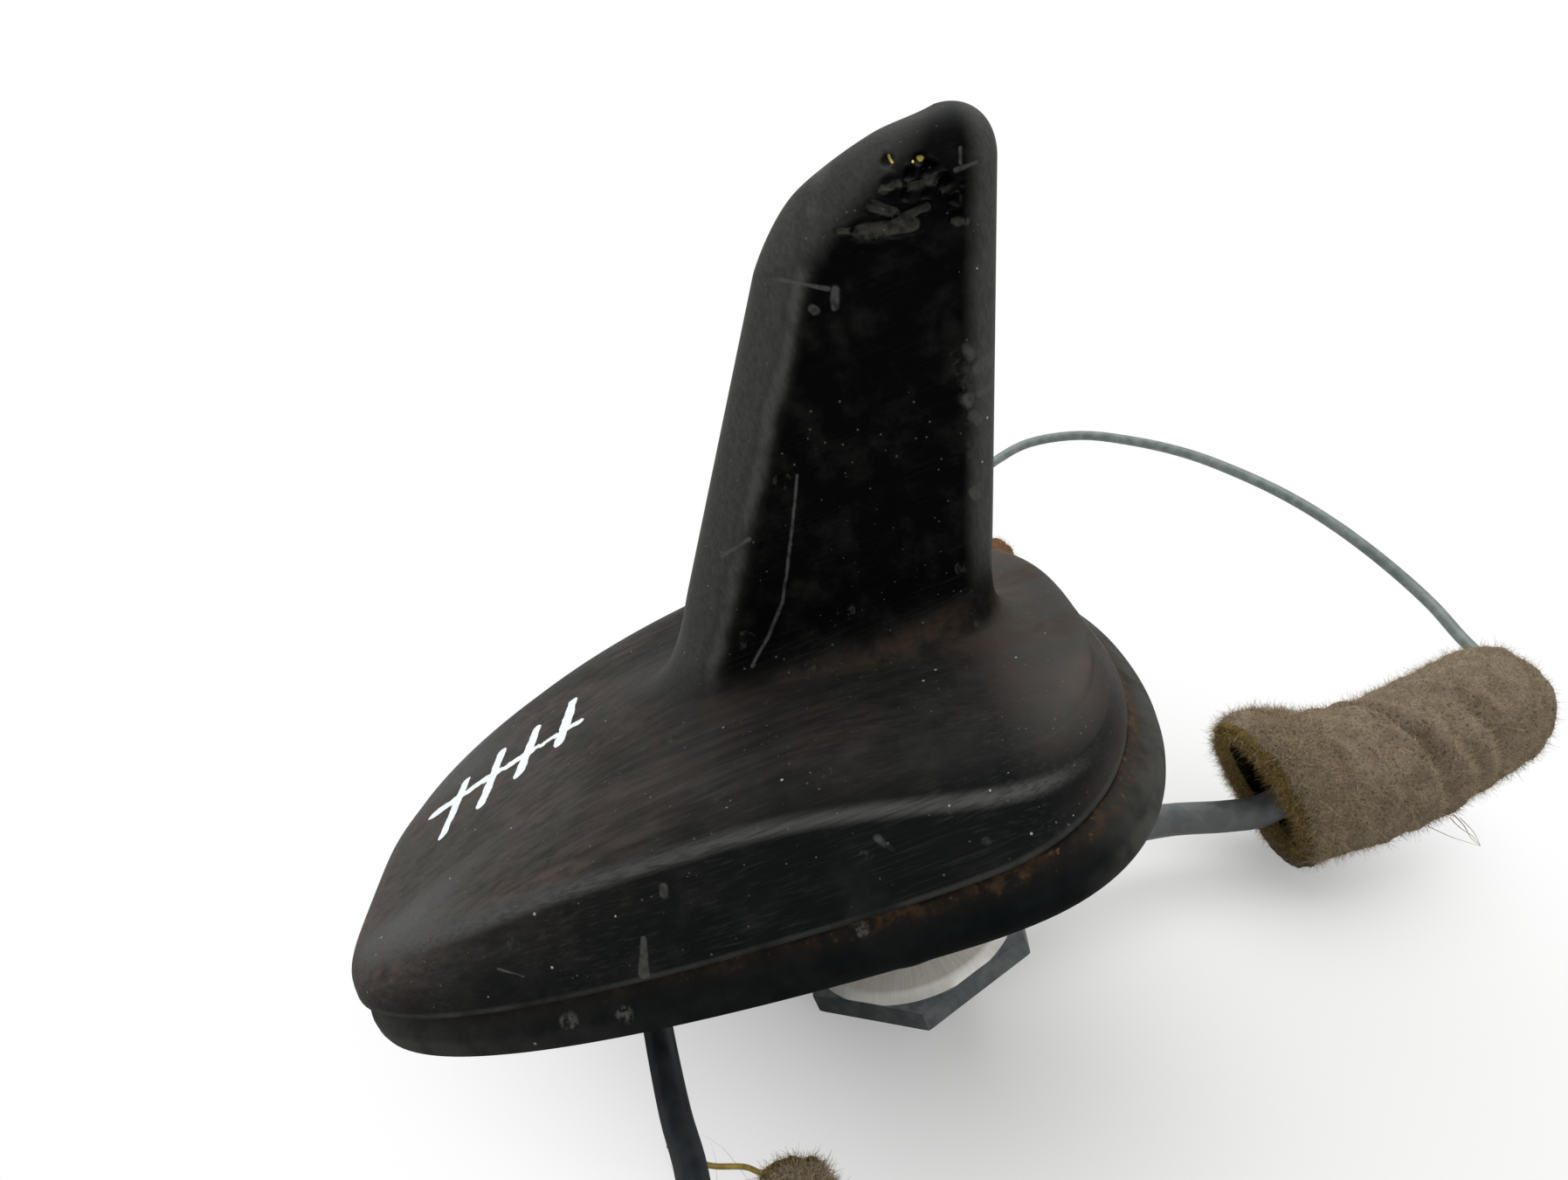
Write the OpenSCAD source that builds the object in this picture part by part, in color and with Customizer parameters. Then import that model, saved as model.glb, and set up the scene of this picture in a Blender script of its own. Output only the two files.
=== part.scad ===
// Roof antenna for a car: a moulded cover with a swept-back fin, on a die-cast base
// whose hollow threaded stud goes through the roof and carries a clamping nut.
// +Z points up from the roof, the nose points to -X. The origin lies on the stud's
// axis in the plane of the roof, which is the gasket's underside.

/* [Base outline] */
// Reach of the gasket from the stud axis to its nose
nose_reach = 60.5; // [56:0.1:68]
// Reach of the gasket from the stud axis to its tail
tail_reach = 35.8; // [32:0.1:42]
// Width of the gasket at its widest place
base_w = 72; // [66:0.5:80]
// Where the outline is widest, measured from the stud axis towards the tail
widest_at = 10; // [6:0.5:14]

/* [Gasket] */
// Height of the gasket's upright lip
gasket_lip_h = 2.6; // [2:0.1:3]
// Thickness of rubber between base plate and roof
gasket_floor_t = 1.8; // [1.2:0.1:2.4]
// How far the skirt leans in above the lip
skirt_lean = 2.6; // [1.5:0.1:3.5]
// Width of the rubber rim that the cover's edge sits on
gasket_rim_w = 3.6; // [3:0.1:4.5]

/* [Cover] */
// Height of the cover's lower edge over the roof
cover_edge_h = 5.8; // [5.4:0.1:7]
// Step from the gasket's outline in to the cover's side
side_inset = 2; // [1:0.1:2.6]
// Wall thickness of the moulding
wall = 2.3; // [1.6:0.1:2.8]
// Height of the shoulder crease at the nose
shoulder_nose_h = 9.4; // [8.8:0.1:10.5]
// Height of the shoulder crease at the tail
shoulder_tail_h = 8.6; // [8:0.1:9.6]
// Rise of the shoulder amidships above the line from nose to tail
shoulder_rise = 7.3; // [5:0.1:9]
// How far the wall leans in between lower edge and shoulder
wall_lean = 3.8; // [2.5:0.1:5]

/* [Fin] */
// Place of the leading edge where it grows out of the dome
fin_front_x = -14.2; // [-18:0.1:-10]
// Height of the dome at the leading edge
fin_front_h = 21.4; // [20:0.1:23]
// Place of the trailing edge where it grows out of the dome
fin_back_x = 22.9; // [21:0.1:26]
// Height of the dome at the trailing edge
fin_back_h = 15; // [14:0.1:16]
// Height of the fin's tip over the roof
fin_top_h = 68; // [60:0.5:76]
// Lean of the leading edge, in degrees from upright
front_lean = 33.8; // [28:0.1:38]
// Lean of the trailing edge, in degrees from upright
back_lean = 18; // [14:0.1:24]
// Thickness of the fin at its root
fin_root_t = 12; // [11:0.1:14]
// Thickness of the fin near its top
fin_top_t = 9.8; // [9:0.1:11]
// Fall of the top edge from the tip to the front corner
fin_top_fall = 8.6; // [6:0.1:11]

/* [Base plate and stud] */
// Thickness of the die-cast plate
plate_t = 3; // [2.4:0.1:3.6]
// Outer diameter of the threaded stud
stud_d = 18; // [16:0.5:20]
// Bore of the stud, which the leads pass through
stud_bore_d = 11; // [10:0.25:12]
// Reach of the stud below the roof plane
stud_reach = 27.6; // [25:0.1:30]
// Diameter of the collar that centres the stud in the roof
collar_d = 20.6; // [20.4:0.1:22]
// Reach of the collar below the roof plane
collar_reach = 1.4; // [0.8:0.1:2.5]
// Thickness of that rib
rib_t = 1.6; // [1.2:0.1:2]

/* [Nut] */
// Width across the nut's flats
nut_af = 27.5; // [26:0.5:30]
// Height of the nut
nut_t = 4.8; // [4:0.1:6]
// Height of the round bearing face on top of the nut
nut_face_h = 1.2; // [0.8:0.1:1.6]
// Length of bare stud below the nut
stud_past_nut = 0.8; // [0.3:0.1:2]
// Turn of the nut about the stud, in degrees
nut_turn = -36.3; // [-60:0.1:0]

/* [Electronics] */
// Thickness of the main circuit board
board_t = 1.6; // [1:0.1:2]
// Height of the posts under the main board
post_h = 2.2; // [1.8:0.1:2.6]
// Width of the main board
board_w = 40; // [36:1:42]
// Reach of the main board towards the nose
board_front = 42; // [38:1:44]
// Reach of the main board towards the tail
board_back = 17; // [15:0.5:18]
// Side of the square ceramic patch
patch_w = 24; // [20:1:25]
// Thickness of the ceramic patch
patch_t = 4; // [3:0.1:4.2]
// Thickness of the board inside the fin
fin_board_t = 1.2; // [0.8:0.1:1.6]
// Size of the threads of the small screws
screw_d = 2.5; // [2:0.1:3]

/* [Leads] */
// Diameter of the lead that leaves towards the front
front_lead_d = 3.5; // [2.8:0.1:3.8]
// Diameter of the lead that leaves towards the rear
rear_lead_d = 5; // [4:0.1:5.2]
// Diameter of the thin lead behind the sleeve
thin_lead_d = 2.8; // [2:0.1:3.4]
// Diameter of the loose yellow wire
wire_d = 0.6; // [0.4:0.1:1]
// Outer diameter of the long foam sleeve
sleeve_d = 24; // [20:0.5:26]
// Inner diameter of the long foam sleeve
sleeve_bore_d = 14; // [13.6:0.2:16]
// Outer diameter of the foam sleeve on the front lead's end
front_sleeve_d = 8.6; // [8:0.1:10]
// Outer diameter of the foam sleeve on the thin lead's end
far_sleeve_d = 15; // [13:0.5:17]
// Bore of the two short foam sleeves
small_bore_d = 5.8; // [5.6:0.1:6.6]

/* [Hidden] */

// Clearance between pieces that are seated on each other
seat = 0.1;
// Clearance between pieces that slide together when they are put together
fit = 0.25;
// Points on half an outline: nose to widest place, widest place to tail
front_steps = 18;
back_steps = 12;
round_fn = 48;

// Heights of the stack on the roof plane
plate_z = gasket_floor_t + seat;
plate_top = plate_z + plate_t;
board_z = plate_top + post_h + seat;
board_top = board_z + board_t;
nut_z = -stud_reach + stud_past_nut;

// Outlines. Each is [nose x, tail x, widest x, half width]
gasket_plan = [-nose_reach, tail_reach, widest_at, base_w / 2];
front_curve = [1.27, 4];
back_curve = [2.5, 2];
function inset(plan, by) = [plan[0] + by, plan[1] - by, plan[2], plan[3] - by];

// Half an outline from the nose to the tail on the +Y side
function half_outline(plan, front, back) = [
    for (i = [0:front_steps])
        let (q = 90 * pow(i / front_steps, 1.7))
        [plan[2] - (plan[2] - plan[0]) * pow(cos(q), 2 / front[0]), plan[3] * pow(sin(q), 2 / front[1])],
    for (i = [1:back_steps])
        let (q = 90 * (1 - i / back_steps))
        [plan[2] + (plan[1] - plan[2]) * pow(cos(q), 2 / back[0]), plan[3] * pow(sin(q), 2 / back[1])]
];
// The whole outline, closed by its own mirror image
function outline(plan, front = front_curve, back = back_curve) =
    let (half = half_outline(plan, front, back), last = len(half) - 1)
    [for (p = half) p, for (i = [last - 1:-1:1]) [half[i][0], -half[i][1]]];

// Rings of the cover. A ring is an outline with heights:
// [nose x, tail x, widest x, half width, nose z, tail z, rise, front curve, back curve]
function cover_ring(plan, nose_z, tail_z, rise, front, back) =
    [plan[0], plan[1], plan[2], plan[3], nose_z, tail_z, rise, front[0], front[1], back[0], back[1]];
peak_at = 0.53;
function hump(s) = s < peak_at
    ? 1 - pow(1 - s / peak_at, 2.3)
    : let (v = (s - peak_at) / (1 - peak_at)) 1 - v * v * (3 - 2 * v);
function ring_points(k) = [
    for (p = outline([k[0], k[1], k[2], k[3]], [k[7], k[8]], [k[9], k[10]]))
        let (s = (p[0] - k[0]) / (k[1] - k[0]))
        [p[0], p[1], k[4] + (k[5] - k[4]) * s + k[6] * hump(min(max(s, 0), 1))]
];

// A smooth curve through key values: points, or whole rings
function smooth_at(a, b, c, d, t) =
    0.5 * (2 * b + (c - a) * t + (2 * a - 5 * b + 4 * c - d) * t * t + (3 * b - a - 3 * c + d) * t * t * t);
function smooth(keys, steps) =
    let (last = len(keys) - 1)
    [for (i = [0:last - 1], j = [0:steps - 1])
        smooth_at(keys[max(i - 1, 0)], keys[i], keys[i + 1], keys[min(i + 2, last)], j / steps),
        keys[last]];

// The fin's edges, as places along its height
function front_x(z) = fin_front_x + (z - fin_front_h) * tan(front_lean);
function back_x(z) = fin_back_x + (z - fin_back_h) * tan(back_lean);
function fin_t(z) = fin_root_t + (fin_top_t - fin_root_t) * (z - fin_front_h) / (fin_top_h - fin_front_h);
// Height where the fin's front corner and its tip begin to round over
corner_front_z = fin_top_h - fin_top_fall;
corner_back_z = fin_top_h - 6.7;
corner_front_l = 8.5;
corner_back_l = 5;

edge_plan = [-nose_reach + 0.3, tail_reach - side_inset - 0.3, widest_at, base_w / 2 - side_inset];
shoulder_plan = [edge_plan[0] + wall_lean - 0.6, edge_plan[1] - wall_lean + 2, widest_at + 1, edge_plan[3] - wall_lean];
fin_flat = [7, 2];
fin_wide_x = 6;

function fin_ring(z_front, z_back, skin) = cover_ring(
    [front_x(z_front) + skin, back_x(z_back) - skin, fin_wide_x + (z_front - fin_front_h) * 0.5,
        fin_t(z_front) / 2 - skin],
    z_front, z_back, 0, fin_flat, fin_flat);

// Key rings from the lower edge to the fin; skin is 0 outside and the wall inside
function body_keys(skin) = [
    cover_ring(inset(edge_plan, skin), cover_edge_h, cover_edge_h, 0, [1.4, 4.3], [2.3, 2]),
    cover_ring(inset(edge_plan + [0.5, -0.8, 0, -1.6], skin), cover_edge_h + 1.9 - skin * 0.2,
        cover_edge_h + 1.3 - skin * 0.2, shoulder_rise * 0.46, [1.4, 4.3], [2.2, 2]),
    cover_ring(inset(shoulder_plan, skin), shoulder_nose_h - skin * 0.4, shoulder_tail_h - skin * 0.4,
        shoulder_rise, [1.5, 4], [2.1, 2])
];
function dome_keys(skin) = [
    cover_ring(inset(shoulder_plan + [2.2, -1.4, 0, -1.6], skin), shoulder_nose_h + 0.7 - skin,
        shoulder_tail_h + 0.9 - skin, shoulder_rise - 0.1, [1.5, 3.8], [2.1, 2]),
    cover_ring(inset([(fin_front_x * 1.7 + shoulder_plan[0]) / 2 - 2, fin_back_x + 7.4, widest_at - 1,
        (fin_root_t + base_w) / 4 + 0.6], skin), (fin_front_h * 1.14 + shoulder_nose_h) / 2 - 3.6 - skin,
        fin_back_h - 3 - skin, shoulder_rise * 0.76, [1.8, 3.1], [2.6, 2]),
    cover_ring(inset([fin_front_x - 7.4, fin_back_x + 4.2, widest_at - 6, fin_root_t / 2 + 4.8], skin),
        fin_front_h - 2 - skin, fin_back_h - 1.5 - skin, shoulder_rise * 0.26, [2.8, 2.3], [2.8, 2.1]),
    cover_ring(inset([fin_front_x - 1.4, fin_back_x + 1.3, widest_at - 6, fin_root_t / 2 + 1.4], skin),
        fin_front_h + 0.1 - skin * 0.6, fin_back_h + 0.5 - skin * 0.6, 0.3, [4, 2.1], [4, 2])
];
fin_keys_z = [[3.5, 4.2], [9, 10], [19, 21], [29, 33]];
function fin_keys(skin) = [
    for (z = fin_keys_z) fin_ring(fin_front_h + z[0], fin_back_h + z[1], skin),
    fin_ring(corner_front_z, corner_back_z, skin)
];
// Rings that round the fin over at its top; turn runs from 0 to nearly 90 degrees.
// The front corner is cut back in a long slope, the tip has a plain round.
corner_front_rise = 6.3;
top_crown = 0.6;
function top_ring(turn, skin) = cover_ring(
    [front_x(corner_front_z) + skin + (corner_front_l - skin) * pow(1 - cos(turn), 0.82),
        back_x(corner_back_z) - skin - (corner_back_l - skin) * (1 - cos(turn)),
        fin_wide_x + (corner_front_z - fin_front_h) * 0.5,
        (fin_t(corner_front_z) / 2 - skin) * cos(turn)],
    corner_front_z + (corner_front_rise - skin) * pow(sin(turn), 2),
    corner_back_z + (fin_top_h - corner_back_z - skin) * sin(turn),
    top_crown * sin(turn), fin_flat, fin_flat);

// All rings of one skin, from the lower edge to the ridge of the fin
function skin_rings(skin, steps, top_steps) = [
    for (k = smooth(body_keys(skin), steps)) k,
    for (k = smooth(concat(dome_keys(skin), fin_keys(skin)), steps)) k,
    for (i = [1:top_steps]) top_ring(86 * i / top_steps, skin)
];

// Side faces between two rings that start at points a and b
function band(a, b, n) = [
    for (i = [0:n - 1])
        let (j = (i + 1) % n)
        each [[a + i, b + j, b + i], [a + i, a + j, b + j]]
];
// A cap across a ring that is symmetric about y = 0
function bridge(a, n) = [
    for (i = [0:n / 2 - 1])
        let (left = i == 0 ? 0 : n - i)
        each (i == 0 ? [[a, a + n - 1, a + 1]]
            : i == n / 2 - 1 ? [[a + i, a + n - i, a + i + 1]]
            : [[a + i, a + left, a + i + 1], [a + i + 1, a + left, a + left - 1]])
];
function flipped(faces) = [for (f = faces) [f[2], f[1], f[0]]];

// A shell between an outer and an inner stack of rings, joined at its lower edge
module shell(outer, inner) {
    n = len(outer[0]);
    start = len(outer) * n;
    polyhedron(
        points = [for (r = outer) each r, for (r = inner) each r],
        faces = concat(
            [for (k = [0:len(outer) - 2]) each flipped(band(k * n, (k + 1) * n, n))],
            bridge((len(outer) - 1) * n, n),
            [for (k = [0:len(inner) - 2]) each band(start + k * n, start + (k + 1) * n, n)],
            flipped(bridge(start + (len(inner) - 1) * n, n)),
            band(0, start, n)),
        convexity = 8);
}

// A closed band swept through a loop of rings, such as a rim
module rim_loop(rings) {
    n = len(rings[0]);
    count = len(rings);
    polyhedron(
        points = [for (r = rings) each r],
        faces = [for (k = [0:count - 1]) each flipped(band(k * n, ((k + 1) % count) * n, n))],
        convexity = 6);
}

module plate(points, z, t) {
    translate([0, 0, z]) linear_extrude(t) polygon(points);
}

module cover() {
    color([0.13, 0.12, 0.115])
        shell([for (k = skin_rings(0, 3, 6)) ring_points(k)], [for (k = skin_rings(wall, 2, 3)) ring_points(k)]);
}

// The gasket's floor carries the plate; its rim wraps the plate's edge
skirt_top = cover_edge_h - seat;
rim_plan = inset(gasket_plan, skirt_lean);
pocket_plan = inset(rim_plan, gasket_rim_w);
function lifted(points, z) = [for (p = points) [p[0], p[1], z]];

// A round outline with as many points as the others
function round_outline(d) = [
    for (p = outline([-1, 1, 0, 1], [2, 2], [2, 2])) [p[0] * d / 2, p[1] * d / 2]];

module seal_gasket() {
    hole = round_outline(collar_d + 2 * fit);
    color([0.11, 0.13, 0.14]) rim_loop([
        lifted(hole, 0), lifted(outline(gasket_plan), 0), lifted(outline(gasket_plan), gasket_lip_h),
        lifted(outline(rim_plan), skirt_top), lifted(outline(pocket_plan), skirt_top),
        lifted(outline(pocket_plan), gasket_floor_t), lifted(hole, gasket_floor_t)]);
}

plate_plan = inset(pocket_plan, fit);
rib_plan = inset(plate_plan, 0.6);
rib_top = board_z - fit;
post_places = [[-board_front + 4, board_w / 2 - 6], [board_back - 4, board_w / 2 - 6],
    [-board_front + 4, 6 - board_w / 2], [board_back - 4, 6 - board_w / 2]];
post_d = screw_d + 3;

module base_plate() {
    color([0.66, 0.67, 0.68]) difference() {
        union() {
            plate(outline(plate_plan), plate_z, plate_t);
            difference() {
                plate(outline(rib_plan), plate_z, rib_top - plate_z);
                plate(outline(inset(rib_plan, rib_t)), plate_z, rib_top);
            }
            for (p = post_places)
                translate([p[0], p[1], plate_z]) cylinder(d = post_d, h = plate_t + post_h, $fn = 32);
            translate([0, 0, -collar_reach]) cylinder(d = collar_d, h = plate_z + collar_reach + 1, $fn = round_fn);
            translate([0, 0, -stud_reach]) cylinder(d = stud_d, h = stud_reach + plate_z + 1, $fn = round_fn);
        }
        translate([0, 0, -stud_reach - 1])
            cylinder(d = stud_bore_d, h = stud_reach + plate_top + 2, $fn = round_fn);
        for (p = post_places)
            translate([p[0], p[1], plate_z + 1]) cylinder(d = screw_d, h = plate_t + post_h, $fn = 24);
    }
}

// Running clearance between the nut's thread and the stud, on the radius
thread_gap = 0.15;

module hex_nut() {
    color([0.5, 0.51, 0.52]) translate([0, 0, nut_z]) rotate([0, 0, nut_turn]) difference() {
        union() {
            cylinder(d = nut_af / cos(30), h = nut_t - nut_face_h, $fn = 6);
            translate([0, 0, nut_t - nut_face_h - 0.01])
                cylinder(d1 = nut_af + 0.6, d2 = nut_af - 1.6, h = nut_face_h + 0.01, $fn = round_fn);
        }
        translate([0, 0, -1]) cylinder(d = stud_d + 2 * thread_gap, h = nut_t + 2, $fn = round_fn);
    }
}

// The main board has a hole over the stud's bore for the leads
lead_hole_d = stud_bore_d + 2;

module rounded_board(x0, x1, w, r, z, t) {
    translate([0, 0, z]) linear_extrude(t) union() {
        translate([x0 + r, -w / 2]) square([x1 - x0 - 2 * r, w]);
        translate([x0, -w / 2 + r]) square([x1 - x0, w - 2 * r]);
        for (x = [x0 + r, x1 - r], y = [-w / 2 + r, w / 2 - r])
            translate([x, y]) circle(r, $fn = 24);
    }
}

module main_board() {
    color([0.1, 0.32, 0.16]) difference() {
        rounded_board(-board_front, board_back, board_w, 3, board_z, board_t);
        translate([0, 0, board_z - 1]) cylinder(d = lead_hole_d, h = board_t + 2, $fn = round_fn);
        for (p = post_places)
            translate([p[0], p[1], board_z - 1]) cylinder(d = screw_d + 2 * fit, h = board_t + 2, $fn = 24);
    }
}

screw_head_h = 1.4;
module board_screws() {
    color([0.75, 0.75, 0.74]) for (p = post_places) translate([p[0], p[1], 0]) {
        translate([0, 0, plate_z + 1.4]) cylinder(d = screw_d - 0.1, h = board_top + seat - plate_z, $fn = 24);
        translate([0, 0, board_top + seat]) cylinder(d = screw_d * 1.9, h = screw_head_h, $fn = 24);
    }
}

can_at = [-4, 8.5];
can_size = [12, 11, 2.3];
can_wall = 0.4;
module shield_can() {
    color([0.78, 0.78, 0.76]) translate([can_at[0], can_at[1], board_top + seat]) difference() {
        cube(can_size);
        translate([can_wall, can_wall, -1])
            cube([can_size[0] - 2 * can_wall, can_size[1] - 2 * can_wall, can_size[2] - can_wall + 1]);
    }
}

patch_x = -lead_hole_d / 2 - 1.5 - patch_w / 2;
patch_z = board_top + seat;
electrode_t = 0.3;
feed_d = 1;
feed_offset = 2.5;
module patch_ceramic() {
    color([0.85, 0.82, 0.74]) difference() {
        translate([patch_x - patch_w / 2, -patch_w / 2, patch_z]) cube([patch_w, patch_w, patch_t]);
        translate([patch_x + feed_offset, 0, patch_z - 1]) cylinder(d = feed_d + 2 * seat, h = patch_t + 2, $fn = 24);
    }
}
module patch_electrode() {
    color([0.8, 0.8, 0.78]) difference() {
        translate([patch_x - patch_w * 0.42, -patch_w * 0.42, patch_z + patch_t])
            cube([patch_w * 0.84, patch_w * 0.84, electrode_t]);
        translate([patch_x + feed_offset, 0, patch_z + patch_t - 1])
            cylinder(d = feed_d + 2 * seat, h = electrode_t + 2, $fn = 24);
    }
}
module feed_pin() {
    color([0.85, 0.7, 0.35]) translate([patch_x + feed_offset, 0, 0]) {
        translate([0, 0, board_top]) cylinder(d = feed_d, h = patch_t + electrode_t + seat * 2, $fn = 24);
        translate([0, 0, patch_z + patch_t + electrode_t + seat * 0.5]) cylinder(d = feed_d * 2, h = 0.3, $fn = 24);
    }
}

// The fin board stands on the main board and follows the fin's cavity
fin_gap = 1.4;
fin_board_foot = lead_hole_d / 2 + 1.5;
fin_board_low = fin_front_h + 2;
fin_board_high = corner_front_z - 3;
fin_board_points = [
    [fin_board_foot, board_top + seat],
    [fin_back_x - wall - fin_gap - 4, board_top + seat],
    [fin_back_x - wall - fin_gap - 0.5, fin_back_h],
    [back_x(fin_board_high) - wall - fin_gap, fin_board_high],
    [back_x(fin_board_high) - wall - fin_gap - 1.5, fin_board_high + 2],
    [front_x(fin_board_high) + wall + fin_gap + 5, fin_board_high],
    [front_x(fin_board_low) + wall + fin_gap + 2, fin_board_low],
    [fin_board_foot, fin_board_low - 3]];
module fin_sheet(points, y, t) {
    translate([0, y + t, 0]) rotate([90, 0, 0]) linear_extrude(t) polygon(points);
}
module fin_board() {
    color([0.16, 0.36, 0.2]) fin_sheet(fin_board_points, -fin_board_t / 2, fin_board_t);
}

// The radiator is a thin brass sheet on the fin board's left side, slotted from behind
radiator_t = 0.3;
radiator_low = fin_board_low + 6;
module fin_radiator() {
    color([0.83, 0.66, 0.25]) difference() {
        fin_sheet([
            [front_x(radiator_low) + wall + fin_gap + 5, radiator_low],
            [back_x(radiator_low) - wall - fin_gap - 2, radiator_low],
            [back_x(fin_board_high) - wall - fin_gap - 2, fin_board_high - 0.5],
            [front_x(fin_board_high) + wall + fin_gap + 7.5, fin_board_high - 1.5]],
            -fin_board_t / 2 - radiator_t, radiator_t);
        for (z = [radiator_low + 5:8:fin_board_high - 8])
            translate([front_x(z) + wall + fin_gap + 10, -fin_board_t, z]) cube([30, fin_board_t, 1.6]);
    }
}

spring_w = 4;
spring_t = 0.3;
module contact_spring() {
    color([0.85, 0.7, 0.35]) translate([fin_board_foot + 3, 0, board_top + seat]) {
        translate([0, fin_board_t / 2 + seat, 0]) cube([spring_w, spring_t, 3.4]);
        translate([0, fin_board_t / 2 + seat, 0]) cube([spring_w, 3.2, spring_t]);
    }
}

// A place on the table on which the loose antenna lies: it leans on the nut's lowest
// corner. A lead's point is [x, y, height over the table].
table_tilt = 28;
nut_corner = nut_af / cos(30) / 2 * cos(nut_turn - 120);
function table_z(x) = nut_z + (nut_corner - x) * tan(table_tilt);
function on_table(p) = [p[0], p[1], table_z(p[0]) + p[2] / cos(table_tilt)];
table_up = [sin(table_tilt), 0, cos(table_tilt)];

// A tube swept along points; the rings stand square to the route
function unit(v) = v / norm(v);
function route_frame(route, i) =
    let (along = unit(route[min(i + 1, len(route) - 1)] - route[max(i - 1, 0)]),
        side = unit(cross(along, table_up)))
    [side, cross(side, along)];
function tube_rings(route, r, sides) = [
    for (i = [0:len(route) - 1])
        let (f = route_frame(route, i))
        [for (k = [0:sides - 1]) route[i] + r * (cos(360 * k / sides) * f[0] + sin(360 * k / sides) * f[1])]
];
module tube(route, d, sides = 8) {
    rings = tube_rings(route, d / 2, sides);
    last = (len(rings) - 1) * sides;
    polyhedron(
        points = [for (r = rings) each r],
        faces = concat(
            [for (k = [0:len(rings) - 2]) each band(k * sides, (k + 1) * sides, sides)],
            [[for (i = [sides - 1:-1:0]) i], [for (i = [0:sides - 1]) last + i]]),
        convexity = 8);
}
// A hollow tube with open ends
module sleeve(route, d, bore, sides = 12) {
    outer = tube_rings(route, d / 2, sides);
    inner = tube_rings(route, bore / 2, sides);
    n = len(route) * sides;
    last = n - sides;
    polyhedron(
        points = [for (r = outer) each r, for (r = inner) each r],
        faces = concat(
            [for (k = [0:len(route) - 2]) each band(k * sides, (k + 1) * sides, sides)],
            [for (k = [0:len(route) - 2]) each flipped(band(n + k * sides, n + (k + 1) * sides, sides))],
            flipped(band(0, n, sides)),
            band(last, n + last, sides)),
        convexity = 8);
}

// Where the two leads stand in the stud's bore, and where the cords take over
front_in_bore = -2.9;
rear_in_bore = 2.2;
splice_z = -17;

// Ferrules crimped on the leads' inner ends lie across the main board
ferrule_l = 5;
ferrule_y = -8.5;
function ferrule_r(d) = d / 2 + 0.5;
function ferrule_z(d) = board_top + seat + ferrule_r(d);
module ferrule(x, d) {
    translate([x, ferrule_y - ferrule_l - seat, ferrule_z(d)])
        rotate([-90, 0, 0]) cylinder(r = ferrule_r(d), h = ferrule_l, $fn = 24);
}
module coax_ferrules() {
    color([0.8, 0.8, 0.78]) {
        ferrule(front_in_bore, front_lead_d);
        ferrule(rear_in_bore, rear_lead_d);
    }
}

// Each lead comes up through the bore and the board's hole, and bends over to its ferrule
function inner_route(x, d) = [[x, 0, splice_z], [x, 0, 0], [x, 0, board_z - 4], [x, -0.3, board_z],
    [x, -1.8, board_top + 1.8], [x, -4.2, ferrule_z(d) + 0.3],
    [x, -6.4, ferrule_z(d)], [x, ferrule_y, ferrule_z(d)]];
module inner_leads() {
    color([0.16, 0.17, 0.18]) {
        tube(inner_route(front_in_bore, front_lead_d), front_lead_d);
        tube(inner_route(rear_in_bore, rear_lead_d), rear_lead_d, 10);
    }
}

grommet_t = 6;
grommet_z = -stud_reach + 1.5;
module stud_grommet() {
    color([0.08, 0.08, 0.08]) difference() {
        translate([0, 0, grommet_z]) cylinder(d = stud_bore_d - 2 * seat, h = grommet_t, $fn = round_fn);
        translate([front_in_bore, 0, grommet_z - 1])
            cylinder(d = front_lead_d + 2 * seat, h = grommet_t + 2, $fn = 24);
        translate([rear_in_bore, 0, grommet_z - 1])
            cylinder(d = rear_lead_d + 2 * seat, h = grommet_t + 2, $fn = 24);
    }
}

// Routes of the loose leads: the first places lie in the stud's bore, the others
// are heights over the table
lead_front_route = concat(
    [[front_in_bore, 0, splice_z], [front_in_bore, 0, -22], [front_in_bore, 0.2, -27.4]],
    [for (p = [[-3.2, 3.2, 2.6], [-4, 8, 1.9], [-8, 15, 1.8], [-15, 20, 1.8], [-24, 18, 1.8], [-31, 9, 1.8],
        [-32.7, -2, 2.4], [-31, -14.5, 3.2], [-29.4, -25.8, 2.9], [-27.9, -33.8, 2.6], [-27, -46, 1.8],
        [-27, -58, 1.8], [-25.5, -70, 1.8], [-20, -77, 2.4], [-13, -76, 3.6], [-11.6, -70, 4.2],
        [-14, -64.8, 4.4], [-15.1, -60.2, 4.4], [-15.58, -56.8, 4.4]]) on_table(p)]);
lead_rear_route = concat(
    [[rear_in_bore, 0, splice_z], [rear_in_bore, 0, -22], [rear_in_bore, 0, -27.2],
        [rear_in_bore + 1.2, 0.6, -31]],
    [for (p = [[8, 4, 4.8], [17, 11, 5.6], [28, 20, 8], [39, 26.4, 9.8], [49.2, 29.3, 10], [54.9, 30.6, 10.4],
        [59.4, 31.2, 12.4], [63.8, 33.85, 12.6]]) on_table(p)]);
lead_thin_route = [for (p = [[90.3, 50.9, 12.6], [101, 59.5, 12.8], [112, 68, 13], [122, 77, 12], [129, 89, 10.5],
    [130.5, 106, 13], [131.5, 119, 16], [128.5, 130, 21], [123.5, 140.5, 26], [118.6, 153.3, 29],
    [113.5, 169, 30], [106.7, 185.9, 30], [98, 203.5, 28], [86.5, 217.5, 25], [72.5, 224.5, 19.5],
    [59.7, 219, 14], [44, 202, 9], [22, 184, 7.5], [7, 168, 7.5], [1, 152, 7.5], [8, 142, 7.5],
    [16, 141, 7.5], [24, 141, 7.5]]) on_table(p)];
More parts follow.
